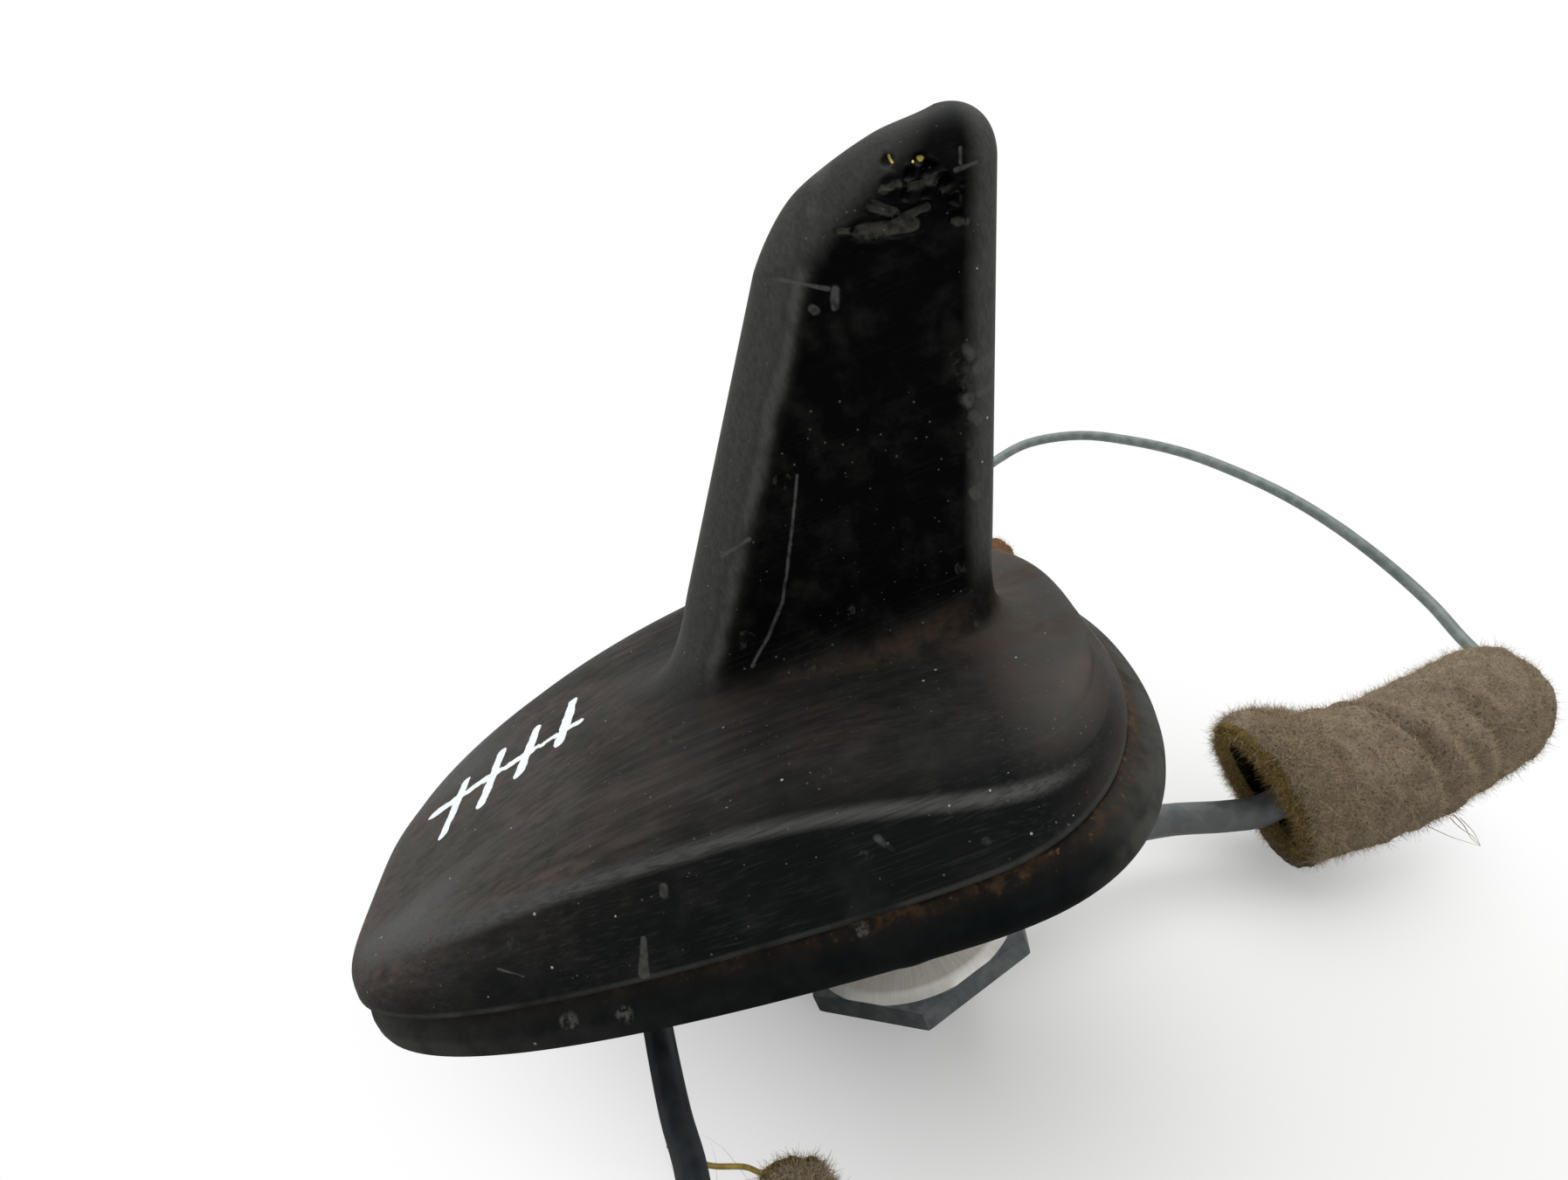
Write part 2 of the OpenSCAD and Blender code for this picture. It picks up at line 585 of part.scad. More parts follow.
yellow_wire_route = [for (p = [[-17.1, -47.2, 4.4], [-17.6, -38, 5], [-18.4, -35, 5.4], [-20, -34.2, 4.6],
    [-21.4, -33.5, 3], [-23.7, -31, 1], [-26.8, -30.5, 0.45], [-29, -29.6, 0.4], [-31, -28, 0.5]]) on_table(p)];
sleeve_route = [for (p = [[55.2, 32.6, 13.2], [62.5, 34.4, 13.2], [72.3, 38.5, 13], [85.3, 47, 13],
    [101.5, 60, 13], [117.5, 72.5, 13]]) on_table(p)];

module lead_front() {
    color([0.17, 0.19, 0.2]) tube(lead_front_route, front_lead_d);
}
module lead_rear() {
    color([0.17, 0.19, 0.2]) tube(lead_rear_route, rear_lead_d, 10);
}
module lead_thin() {
    color([0.17, 0.19, 0.2]) tube(smooth(lead_thin_route, 2), thin_lead_d);
}
module yellow_wire() {
    color([0.78, 0.66, 0.2]) tube(yellow_wire_route, wire_d);
}
module foam_sleeve() {
    color([0.42, 0.36, 0.29]) sleeve(smooth(sleeve_route, 2), sleeve_d, sleeve_bore_d);
}

// Lays a piece along the table: its own X runs in the given heading
module lay(p, heading) {
    translate(on_table(p)) rotate([0, table_tilt, 0]) rotate([0, 0, heading]) children();
}
// The heading on the table from one place to another
function heading(a, b) = atan2(b[1] - a[1], (b[0] - a[0]) / cos(table_tilt));

// Square coaxial socket and round plug joined inside the long sleeve
socket_l = 20;
plug_w = 7.6;
plug_l = 34;
rear_plug_start = [64, 34, 12.6];
rear_plug_end = [92, 52, 12.6];
module connector_rear() {
    color([0.78, 0.5, 0.1]) lay(rear_plug_start, heading(rear_plug_start, rear_plug_end)) {
        translate([0, -plug_w / 2, -plug_w / 2]) cube([socket_l, plug_w, plug_w]);
        translate([socket_l - 1, 0, 0]) rotate([0, 90, 0]) cylinder(d = plug_w - 1.2, h = plug_l - socket_l + 1, $fn = 32);
    }
}

// Small round plugs in the two short sleeves
small_plug_d = 4.6;
small_plug_l = 18;
module small_plug(length) {
    rotate([0, 90, 0]) cylinder(d = small_plug_d, h = length, $fn = 24);
}
module small_sleeve(d, length) {
    rotate([0, 90, 0]) difference() {
        cylinder(d = d, h = length, $fn = round_fn);
        translate([0, 0, -1]) cylinder(d = small_bore_d, h = length + 2, $fn = 32);
    }
}
// The front sleeve runs from its open end, where the yellow wire leaves, towards -Y
front_sleeve_start = [-18.6, -35.6, 4.4];
front_plug_end = [-15.6, -56.6, 4.4];
front_sleeve_l = 28;
front_heading = heading(front_sleeve_start, front_plug_end);
front_plug_l = 9;
module foam_front() {
    color([0.36, 0.3, 0.22]) lay(front_sleeve_start, front_heading) small_sleeve(front_sleeve_d, front_sleeve_l);
}
module connector_front() {
    color([0.75, 0.62, 0.3]) lay(front_plug_end, front_heading + 180) small_plug(front_plug_l);
}
far_sleeve_start = [16, 141, 7.5];
far_plug_start = [24.2, 141, 7.5];
far_sleeve_l = 35;
module foam_far() {
    color([0.4, 0.26, 0.17]) lay(far_sleeve_start, 0) small_sleeve(far_sleeve_d, far_sleeve_l);
}
module connector_far() {
    color([0.75, 0.62, 0.3]) lay(far_plug_start, 0) small_plug(small_plug_l);
}

cover();
seal_gasket();
base_plate();
hex_nut();
main_board();
board_screws();
shield_can();
patch_ceramic();
patch_electrode();
feed_pin();
fin_board();
fin_radiator();
contact_spring();
coax_ferrules();
inner_leads();
stud_grommet();
lead_front();
lead_rear();
lead_thin();
yellow_wire();
foam_sleeve();
connector_rear();
foam_front();
connector_front();
foam_far();
connector_far();
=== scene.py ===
# %% [markdown]
# # A roof antenna for a car, taken off its car
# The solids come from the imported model: cover, gasket, cast base with its hollow stud, nut,
# electronics and leads. This lesson dresses them as they look after years on a roof. The
# antenna lies loose on a table, so it leans on one corner of its nut, and the table is a
# plane that is tilted against the antenna's own upright frame.

# %% Load the frame
import math
import random
import bmesh
import bpy
import numpy as np
from mathutils import Matrix, Vector, noise


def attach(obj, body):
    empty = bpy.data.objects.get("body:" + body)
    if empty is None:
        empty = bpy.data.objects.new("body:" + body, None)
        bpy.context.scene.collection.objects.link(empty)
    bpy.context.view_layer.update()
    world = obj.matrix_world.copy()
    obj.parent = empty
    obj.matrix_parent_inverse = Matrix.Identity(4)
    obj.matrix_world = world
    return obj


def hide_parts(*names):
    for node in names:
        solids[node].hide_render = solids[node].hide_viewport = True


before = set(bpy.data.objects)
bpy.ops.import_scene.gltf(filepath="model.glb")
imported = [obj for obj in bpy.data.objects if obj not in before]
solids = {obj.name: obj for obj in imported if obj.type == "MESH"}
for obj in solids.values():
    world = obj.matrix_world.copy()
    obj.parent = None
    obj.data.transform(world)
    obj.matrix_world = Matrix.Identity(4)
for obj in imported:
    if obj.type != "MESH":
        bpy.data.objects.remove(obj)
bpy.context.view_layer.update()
MM = 0.001

# %% [markdown]
# ## The camera
# The camera stands where the photographer held theirs, close above the table and turned
# with it. Its three directions are written as rounded unit vectors and squared up here, so
# that small rounding errors can't shear the view.

# %% Camera
IMAGE_WIDTH = 1795
FOCAL_PIXELS = 1344.6
SENSOR_WIDTH = 36
eye = Vector((11.03, -122.27, 76.62)) * MM
ahead = Vector((-0.0708, 0.9216, -0.3817)).normalized()
right = Vector((0.9291, -0.0783, -0.3614))
right = (right - ahead * right.dot(ahead)).normalized()
up = right.cross(ahead)
lens = bpy.data.cameras.new("photo_camera")
lens.sensor_width = SENSOR_WIDTH
lens.lens = FOCAL_PIXELS * SENSOR_WIDTH / IMAGE_WIDTH
lens.clip_start = 0.01
lens.clip_end = 60
camera = bpy.data.objects.new("photo_camera", lens)
camera.matrix_world = Matrix([
    (right.x, up.x, -ahead.x, eye.x),
    (right.y, up.y, -ahead.y, eye.y),
    (right.z, up.z, -ahead.z, eye.z),
    (0, 0, 0, 1)])
bpy.context.scene.collection.objects.link(camera)
bpy.context.scene.camera = camera
bpy.context.scene.view_settings.view_transform = "Standard"
print("lens", round(lens.lens, 2), "mm")

# %% [markdown]
# ## The table
# A loose lead lies on the table, so each place on a lead is easiest to give as a place on
# the table and a height over it. The function below turns such a place into the antenna's
# own frame. The table leans by 28 degrees and touches the lowest corner of the nut.

# %% Places on the table
TILT = math.radians(28)
NUT_BOTTOM = -26.8
NUT_CORNER = -14.538
table_up = Vector((math.sin(TILT), 0, math.cos(TILT)))


def table_z(x):
    return NUT_BOTTOM + (NUT_CORNER - x) * math.tan(TILT)


def on_table(x, y, height):
    return (x, y, table_z(x) + height / math.cos(TILT))


def laid(places):
    """Places on the table and heights over it, turned into the antenna's own frame."""
    return [on_table(*place) for place in places]


def smooth_at(a, b, c, d, t):
    """A point on the curve that passes b at t = 0 and c at t = 1."""
    return 0.5 * (2 * b + (c - a) * t + (2 * a - 5 * b + 4 * c - d) * t ** 2
                  + (3 * b - a - 3 * c + d) * t ** 3)


def smooth(keys, steps):
    """A smooth row through key points or key rings; steps is one number, or one a gap."""
    keys = [np.array(key, float) for key in keys]
    last = len(keys) - 1
    counts = steps if isinstance(steps, list) else [steps] * last
    row = []
    for i in range(last):
        around = keys[max(i - 1, 0)], keys[i], keys[i + 1], keys[min(i + 2, last)]
        row += [smooth_at(*around, j / counts[i]) for j in range(counts[i])]
    return row + [keys[last]]


print("table under the stud axis at", round(table_z(0), 1), "mm")

# %% [markdown]
# ## The leads
# Two coaxial leads leave the stud's bore: a slim one to the front and a thicker one to the
# rear, which goes into a foam sleeve. Behind the sleeve a thin lead bows up and round to a
# third plug. Coax of this kind is springy, so its bends are wide. A curve with a round bevel
# would do, but a swept mesh keeps its exact size in every tool, so that is used here.

# %% Routes of the leads, in millimetres
front_route = [(-2.9, 0, -17), (-2.9, 0, -22), (-2.9, 0.2, -27.4)] + laid([
    (-3.2, 3.2, 2.6), (-4, 8, 1.9), (-8, 15, 1.8), (-15, 20, 1.8), (-24, 18, 1.8), (-31, 9, 1.8),
    (-32.7, -2, 2.4), (-31, -14.5, 3.2), (-29.4, -25.8, 2.9), (-27.9, -33.8, 2.6), (-27, -46, 1.8),
    (-27, -58, 1.8), (-25.5, -70, 1.8), (-20, -77, 2.4), (-13, -76, 3.6), (-11.6, -70, 4.2),
    (-14, -64.8, 4.4), (-15.1, -60.2, 4.4), (-15.58, -56.8, 4.4)])
rear_route = [(2.2, 0, -17), (2.2, 0, -22), (2.2, 0, -27.2), (3.4, 0.6, -31)] + laid([
    (8, 4, 5.4), (17, 11, 7.8), (28, 20, 10.6), (39, 26.2, 10.4), (49.2, 29.3, 10),
    (54.9, 30.6, 10.4), (59.4, 31.2, 12.4), (63.8, 33.85, 12.6)])
thin_route = laid([
    (90.3, 50.9, 12.6), (101, 59.5, 12.8), (112, 68, 13), (122, 77, 12), (129, 89, 10.5),
    (130.5, 106, 13), (131.5, 119, 16), (128.5, 130, 21), (123.5, 140.5, 26), (118.6, 153.3, 29),
    (113.5, 169, 30), (106.7, 185.9, 30), (98, 203.5, 28), (86.5, 217.5, 25), (72.5, 224.5, 19.5),
    (59.7, 219, 14), (44, 202, 9), (22, 184, 7.5), (7, 168, 7.5), (1, 152, 7.5), (8, 142, 7.5),
    (16, 141, 7.5), (24, 141, 7.5)])
wire_route = laid([
    (-17.1, -47.2, 4.4), (-17.6, -38, 5), (-18.4, -35, 5.4), (-20, -34.2, 4.6), (-21.4, -33.5, 3),
    (-23.7, -31, 1), (-26.8, -30.5, 0.45), (-29, -29.6, 0.4), (-31, -28, 0.5)])
routes = {"front": front_route, "rear": rear_route, "thin": thin_route, "wire": wire_route}


def route_length(route):
    return sum(math.dist(a, b) for a, b in zip(route, route[1:]))


for label, route in routes.items():
    print(label, "lead", round(route_length(route), 1), "mm")

# %% [markdown]
# ## Helpers for meshes
# The moulded pieces are stacks of rings: each ring is one outline with heights, and a band
# of four-sided faces joins it to the next. The sources of the solids use the same rings, so
# a finer stack of them has exactly the same form with a smoother skin.

# %% Mesh helpers


def mesh_piece(name, points, faces):
    """A mesh object from points in millimetres."""
    mesh = bpy.data.meshes.new(name)
    mesh.from_pydata([tuple(float(v) * MM for v in p) for p in points], [], faces)
    mesh.update()
    shape = bmesh.new()
    shape.from_mesh(mesh)
    bmesh.ops.recalc_face_normals(shape, faces=shape.faces)
    shape.to_mesh(mesh)
    shape.free()
    for polygon in mesh.polygons:
        polygon.use_smooth = True
    piece = bpy.data.objects.new(name, mesh)
    bpy.context.scene.collection.objects.link(piece)
    return piece


def band(a, b, n):
    """Faces between two closed rings that start at a and b."""
    return [(a + i, a + (i + 1) % n, b + (i + 1) % n, b + i) for i in range(n)]


def place_piece(piece, slot, *nodes):
    """The piece rides with the antenna and stands for the named solids."""
    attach(piece, "root")
    if nodes:
        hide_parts(*nodes)
    return piece


# %% Leads swept along their routes


def lead_tube(name, route, diameter, steps=5, sides=20):
    """A round lead along a route in millimetres; returns it and the line it follows."""
    line = [Vector(p) for p in smooth(route, steps)]
    # Any direction across the lead will do to start with; it is squared up at each point
    side = Vector((0.3, 1, 0.2))
    points = []
    for i, place in enumerate(line):
        along = (line[min(i + 1, len(line) - 1)] - line[max(i - 1, 0)]).normalized()
        side = (side - along * side.dot(along)).normalized()
        other = along.cross(side)
        for k in range(sides):
            a = 2 * math.pi * k / sides
            points.append(place + (side * math.cos(a) + other * math.sin(a)) * diameter / 2)
    faces = []
    for k in range(len(line) - 1):
        faces += band(k * sides, (k + 1) * sides, sides)
    last = (len(line) - 1) * sides
    faces += [tuple(range(sides)), tuple(range(last, last + sides))]
    return mesh_piece(name, points, faces), [tuple(p * MM) for p in line]


lead_front, front_line = lead_tube("front_lead", front_route, 3.5)
lead_rear, rear_line = lead_tube("rear_lead", rear_route, 5, steps=8)
lead_thin, thin_line = lead_tube("thin_lead", thin_route, 2.8)
yellow_wire, wire_line = lead_tube("loose_wire", wire_route, 0.6, sides=10)
print("points on the long lead:", len(thin_line))

# %% [markdown]
# ## The outline of base and cover
# Seen from above, the antenna is a drop: pointed and full at the nose, square at the tail.
# A superellipse with its own exponents for front and back gives that line. The points are
# spread evenly along the line, which keeps the faces regular.

# %% Outlines
HALF = 120


def outline(plan, front, back):
    """The closed outline of [nose x, tail x, widest x, half width], evenly divided."""
    nose, tail, widest, half = plan
    # The trial points crowd towards the tip of the nose, where the line bends most
    q = np.radians(90 * np.linspace(0, 1, 600) ** 1.7)
    x = widest - (widest - nose) * np.clip(np.cos(q), 0, 1) ** (2 / front[0])
    y = half * np.clip(np.sin(q), 0, 1) ** (2 / front[1])
    q = np.radians(90 * (1 - np.linspace(0, 1, 400)[1:]))
    x = np.concatenate([x, widest + (tail - widest) * np.clip(np.cos(q), 0, 1) ** (2 / back[0])])
    y = np.concatenate([y, half * np.clip(np.sin(q), 0, 1) ** (2 / back[1])])
    run = np.concatenate([[0], np.cumsum(np.hypot(np.diff(x), np.diff(y)))])
    at = np.linspace(0, run[-1], HALF + 1)
    x = np.interp(at, run, x)
    y = np.interp(at, run, y)
    y[0] = y[-1] = 0
    return np.stack([np.concatenate([x, x[-2:0:-1]]), np.concatenate([y, -y[-2:0:-1]])], -1)


def inset(plan, by):
    return [plan[0] + by, plan[1] - by, plan[2], plan[3] - by]


def moved(plan, by):
    return [a + b for a, b in zip(plan, by)]


GASKET_PLAN = [-60.5, 35.8, 10, 36]
EDGE_PLAN = [-60.2, 33.5, 10, 34]
SHOULDER_PLAN = [EDGE_PLAN[0] + 3.2, EDGE_PLAN[1] - 1.8, 11, EDGE_PLAN[3] - 3.8]
print("points in a ring:", 2 * HALF)

# %% [markdown]
# ## The moulded cover with its fin
# This is the piece of most skill: a low dome with a crease along its shoulder, out of which
# a swept-back fin grows through a soft fillet. The fin leans back, has round edges and a
# top that is cut off in a slope. Rings are laid from the lower edge up to the fin's ridge.

# %% Sizes of the cover
FIN_FRONT_X, FIN_FRONT_Z = -14.2, 21.4
FIN_BACK_X, FIN_BACK_Z = 22.9, 15
FIN_TOP_Z = 68
FRONT_LEAN = math.tan(math.radians(33.8))
BACK_LEAN = math.tan(math.radians(18))
CORNER_FRONT_Z = FIN_TOP_Z - 8.6
CORNER_BACK_Z = FIN_TOP_Z - 6.7
WALL = 2.3
# The crease along the shoulder climbs from the nose to its crest and falls to the tail
SHOULDER_NOSE_Z = 9.4
SHOULDER_RISE = 7.3
CREST = 0.53
CREST_POWER = 2.3
CREASE_DROP = 0.8
# Outlines of the rings between the lower edge and the fin, from the bottom up
SWELL_PLAN = moved(EDGE_PLAN, [0.5, -0.5, 0, -1.6])
CREASE_PLAN = moved(SHOULDER_PLAN, [0, 0.6, 0, 0])
CREASE_LENGTH = CREASE_PLAN[1] - CREASE_PLAN[0]
LEDGE_PLAN = moved(SHOULDER_PLAN, [2.2, -0.1, 0, -1.6])
DOME_PLAN = [(FIN_FRONT_X * 1.7 + SHOULDER_PLAN[0]) / 2 - 2, FIN_BACK_X + 7.9, 9, 23.2]
DOME_NOSE_Z = (FIN_FRONT_Z * 1.14 + SHOULDER_NOSE_Z) / 2 - 3.1
FOOT_PLAN = [FIN_FRONT_X - 7.4, FIN_BACK_X + 4.2, 4, 10.8]
FILLET_PLAN = [FIN_FRONT_X - 1.4, FIN_BACK_X + 1.3, 4, 7.4]
# Heights of the fin's rings over its foot, at the front and at the back
FIN_HEIGHTS = [(3.5, 4.2), (9, 10), (19, 21), (29, 33)]
FIN_ENDS = [7, 2]
# The rounded top: how far its ends draw in, how high its front climbs, and its crown
TOP_FRONT_IN, TOP_BACK_IN = 4.3, 6.9
TOP_FRONT_RISE = 6.3
TOP_CROWN = 0.75
TOP_TURN = 86
print("fin:", round(FIN_TOP_Z - FIN_FRONT_Z, 1), "mm high, leaning back", round(FRONT_LEAN, 2), "to 1")

# %% One ring, and the lines of the fin


def ring(plan, nose_z, tail_z, rise, front, back):
    """One key ring: plan, heights at nose and tail, rise between, exponents of both ends."""
    return np.array(list(plan) + [nose_z, tail_z, rise] + list(front) + list(back), float)


def front_x(z):
    return FIN_FRONT_X + (z - FIN_FRONT_Z) * FRONT_LEAN


def back_x(z):
    return FIN_BACK_X + (z - FIN_BACK_Z) * BACK_LEAN


def fin_thickness(z):
    return 12 - 2.2 * (z - FIN_FRONT_Z) / (FIN_TOP_Z - FIN_FRONT_Z)


def fin_widest(z):
    """Where along the car the fin is thickest."""
    return 6 + (z - FIN_FRONT_Z) * 0.5


def fin_ring(front_z, back_z, skin):
    plan = [front_x(front_z) + skin, back_x(back_z) - skin, fin_widest(front_z),
            fin_thickness(front_z) / 2 - skin]
    return ring(plan, front_z, back_z, 0, FIN_ENDS, FIN_ENDS)


# %% Key rings of the cover


def body_keys(skin):
    """From the lower edge to the crease; skin is how deep in the wall a ring lies."""
    return [
        ring(inset(EDGE_PLAN, skin), 5.8, 5.8, 0, [1.4, 4.3], [2.45, 2.04]),
        ring(inset(SWELL_PLAN, skin), 7.7 - skin * 0.2, 7.3 - skin * 0.2, SHOULDER_RISE * 0.46,
             [1.4, 4.3], [2.6, 2.1]),
        ring(inset(CREASE_PLAN, skin), SHOULDER_NOSE_Z - skin * 0.4, 9.6 - skin * 0.4,
             SHOULDER_RISE, [1.5, 4], [2.9, 2.2])]


def dome_keys(skin):
    """From the crease over the dome to the fillet round the fin's foot."""
    return [
        ring(inset(LEDGE_PLAN, skin), 10.1 - skin, 11.8 - skin, SHOULDER_RISE - 0.1,
             [1.5, 3.8], [2.9, 2.2]),
        ring(inset(DOME_PLAN, skin), DOME_NOSE_Z - skin, FIN_BACK_Z - 1.8 - skin,
             SHOULDER_RISE * 0.79, [1.8, 3.1], [3.5, 2.3]),
        ring(inset(FOOT_PLAN, skin), FIN_FRONT_Z - 2 - skin, FIN_BACK_Z - 1.5 - skin,
             SHOULDER_RISE * 0.26, [2.8, 2.3], [2.8, 2.1]),
        ring(inset(FILLET_PLAN, skin), FIN_FRONT_Z + 0.1 - skin * 0.6,
             FIN_BACK_Z + 0.5 - skin * 0.6, 0.3, [4, 2.1], [4, 2])]


def fin_keys(skin):
    rings = [fin_ring(FIN_FRONT_Z + a, FIN_BACK_Z + b, skin) for a, b in FIN_HEIGHTS]
    return rings + [fin_ring(CORNER_FRONT_Z, CORNER_BACK_Z, skin)]


def top_ring(turn, skin):
    """A ring of the rounded top; turn runs from 0 to nearly a right angle."""
    c, s = math.cos(turn), math.sin(turn)
    front_z = CORNER_FRONT_Z + (TOP_FRONT_RISE - skin) * s ** 2
    back_z = CORNER_BACK_Z + (FIN_TOP_Z - CORNER_BACK_Z - skin) * s
    plan = [front_x(front_z) + skin + (TOP_FRONT_IN - skin) * (1 - c) ** 1.3,
            back_x(back_z) - skin - (TOP_BACK_IN - skin) * (1 - c),
            fin_widest(CORNER_FRONT_Z), (fin_thickness(CORNER_FRONT_Z) / 2 - skin) * c]
    return ring(plan, front_z, back_z, TOP_CROWN * s, FIN_ENDS, FIN_ENDS)


# %% Rings of the cover


def ring_points(key):
    """Points of one ring, with their heights."""
    flat = outline(key[:4], key[7:9], key[9:11])
    s = np.clip((flat[:, 0] - key[0]) / (key[1] - key[0]), 0, 1)
    climb = 1 - (1 - np.minimum(s / CREST, 1)) ** CREST_POWER
    rear = np.clip((s - CREST) / (1 - CREST), 0, 1)
    hump = np.where(s < CREST, climb, 1 - rear ** 2 * (3 - 2 * rear))
    z = key[4] + (key[5] - key[4]) * s + key[6] * hump
    return np.column_stack([flat, z])


def skin_rings(skin, body_steps, fin_steps, top_steps):
    rings = smooth(body_keys(skin), body_steps)
    rings += smooth(dome_keys(skin) + fin_keys(skin), fin_steps)
    turns = [math.radians(TOP_TURN * i / top_steps) for i in range(1, top_steps + 1)]
    return rings + [top_ring(turn, skin) for turn in turns]


outer_rings = skin_rings(0, 9, [8, 12, 10, 8, 8, 12, 14, 46], 46)
inner_rings = skin_rings(WALL, 3, 3, 6)
print("rings outside and inside:", len(outer_rings), len(inner_rings))

# %% [markdown]
# ## The gouges at the fin's top
# Something hard has rubbed through the plastic near the tip, on one side only. The pits are
# real hollows in the mesh with a small raised rim, so they catch the light as the melted
# plastic does. Each is given as a place on the fin's side, a radius and a depth.

# %% Pits and gouges
# Each pit: x, z, radius, depth, rim. Each gouge: start, end, radius, depth, rim.
PITS = [
    (27.2, 65.1, 0.5, 1.3, 0.12), (30.1, 64.1, 0.42, 1.2, 0.15), (28.7, 63.2, 0.5, 0.8, 0.3),
    (30.5, 62.9, 0.72, 1.1, 0.35), (31.5, 61.3, 0.62, 1.5, 0.42), (32.1, 59.6, 0.6, 1.2, 0.45),
    (31.6, 57.9, 0.6, 0.5, 0.3), (26.5, 63.3, 0.55, 0.5, 0.32), (29.6, 61.0, 0.45, 0.5, 0.3),
    (27.7, 61.6, 0.5, 0.55, 0.3), (33.1, 60.6, 0.3, 0.5, 0.25), (27.3, 58.9, 0.42, 0.35, 0.15)]
GOUGES = [
    ((22.2, 60.1), (27.4, 58.7), 0.85, 0.5, 0.24), ((20.3, 61.0), (22.0, 60.3), 0.3, 0.35, 0.12),
    ((24.3, 62.0), (26.2, 60.4), 0.4, 0.55, 0.32), ((26.0, 60.0), (29.2, 60.0), 0.4, 0.55, 0.36),
    ((32.9, 62.0), (35.4, 61.9), 0.24, 0.2, 0.08), ((34.0, 63.7), (33.6, 62.3), 0.2, 0.2, 0.06),
    ((28.4, 62.2), (30.6, 61.8), 0.35, 0.45, 0.25), ((22.4, 59.4), (21.8, 58.4), 0.28, 0.3, 0.1),
    ((30.9, 60.3), (31.3, 58.9), 0.3, 0.45, 0.25),
    ((12.9, 59.2), (17.6, 56.2), 0.22, 0.14, 0.06), ((18.2, 55.8), (17.7, 54.4), 0.3, 0.15, 0.06)]
DENTS_ABOVE = 50
NEAR_SIDE_Y = -0.6
RIM_LIMIT, DEPTH_LIMIT = -0.4, 1.7
RIM_PLACE, RIM_WIDTH = 1.45, 0.34


def dent(points, a, b, radius, depth, rim):
    """Presses a round hollow along the line from a to b into the near side of the fin."""
    x, z = points[:, 0], points[:, 2]
    bx, bz = b[0] - a[0], b[1] - a[1]
    run = max(bx * bx + bz * bz, 1e-9)
    t = np.clip(((x - a[0]) * bx + (z - a[1]) * bz) / run, 0, 1)
    # Slow waves in the radius keep the hollow from being a perfect circle
    wave = 1 + 0.10 * np.sin(x * 3.1 + z * 2.7 + a[0]) + 0.07 * np.sin(z * 5.3 - x * 2.2)
    far = np.hypot(x - a[0] - bx * t, z - a[1] - bz * t) / (radius * wave)
    press = depth * np.exp(-far ** 3 * 0.8) - rim * np.exp(-((far - RIM_PLACE) / RIM_WIDTH) ** 2)
    return np.where(points[:, 1] < NEAR_SIDE_Y, press, 0)


def gouge(points):
    """One ring of the outer skin with all the pits and gouges pressed in."""
    if points[:, 2].max() <= DENTS_ABOVE:
        return points
    press = sum(dent(points, (x, z), (x, z), r, d, rim) for x, z, r, d, rim in PITS)
    press = press + sum(dent(points, a, b, r, d, rim) for a, b, r, d, rim in GOUGES)
    points[:, 1] += np.clip(press, RIM_LIMIT, DEPTH_LIMIT)
    return points


outer = [gouge(ring_points(key)) for key in outer_rings]
inner = [ring_points(key) for key in inner_rings]
ring_size = len(outer[0])
print("pits and gouges:", len(PITS) + len(GOUGES))

# %% One closed skin for the cover


def ridge_faces(start, n):
    """Closes a narrow ring across y = 0."""
    half = n // 2
    faces = [(start, start + 1, start + n - 1)]
    for i in range(1, half - 1):
        faces.append((start + i, start + i + 1, start + n - i - 1, start + n - i))
    return faces + [(start + half - 1, start + half, start + half + 1)]


def shell_faces(count_out, count_in, n):
    """Faces of the outer rings, of the inner rings, and of the edge that joins them."""
    faces = []
    for k in range(count_out - 1):
        faces += band(k * n, (k + 1) * n, n)
    faces += ridge_faces((count_out - 1) * n, n)
    first = count_out * n
    for k in range(count_in - 1):
        faces += band(first + k * n, first + (k + 1) * n, n)
    faces += ridge_faces(first + (count_in - 1) * n, n)
    return faces + band(0, first, n)


cover = mesh_piece("moulded_cover", np.vstack(outer + inner),
                   shell_faces(len(outer), len(inner), ring_size))
place_piece(cover, "cover_plastic", "cover")
print("cover faces:", len(cover.data.polygons))

# %% [markdown]
# ## The gasket
# A rubber skirt seals the antenna against the roof. It has a round lower lip, a slope up to
# the cover's edge, and a pocket inside for the cast plate. The cross-section is a closed
# loop of insets and heights, swept round the outline.

# %% Gasket
GASKET_NOSE, GASKET_TAIL = (1.27, 4), (2.75, 2.1)
HOLE_WIDTH = 21.1
POCKET_FLOOR_Z = 1.8
# Each row of the section: how far it is set in from the gasket's edge, and its height
GASKET_SECTION = [
    (1.1, 0), (0.5, 0.12), (0.12, 0.5), (0, 1.1), (0.02, 2.1), (0.12, 2.5), (0.36, 2.78),
    (0.9, 3.35), (1.6, 4.2), (2.2, 5.0), (2.5, 5.42), (2.8, 5.64), (3.2, 5.7),
    (6.0, 5.7), (6.2, 5.5), (6.2, POCKET_FLOOR_Z)]


def round_outline(diameter):
    return outline([-1, 1, 0, 1], (2, 2), (2, 2)) * diameter / 2


def lifted(flat, z):
    return np.column_stack([flat, np.full(len(flat), z)])


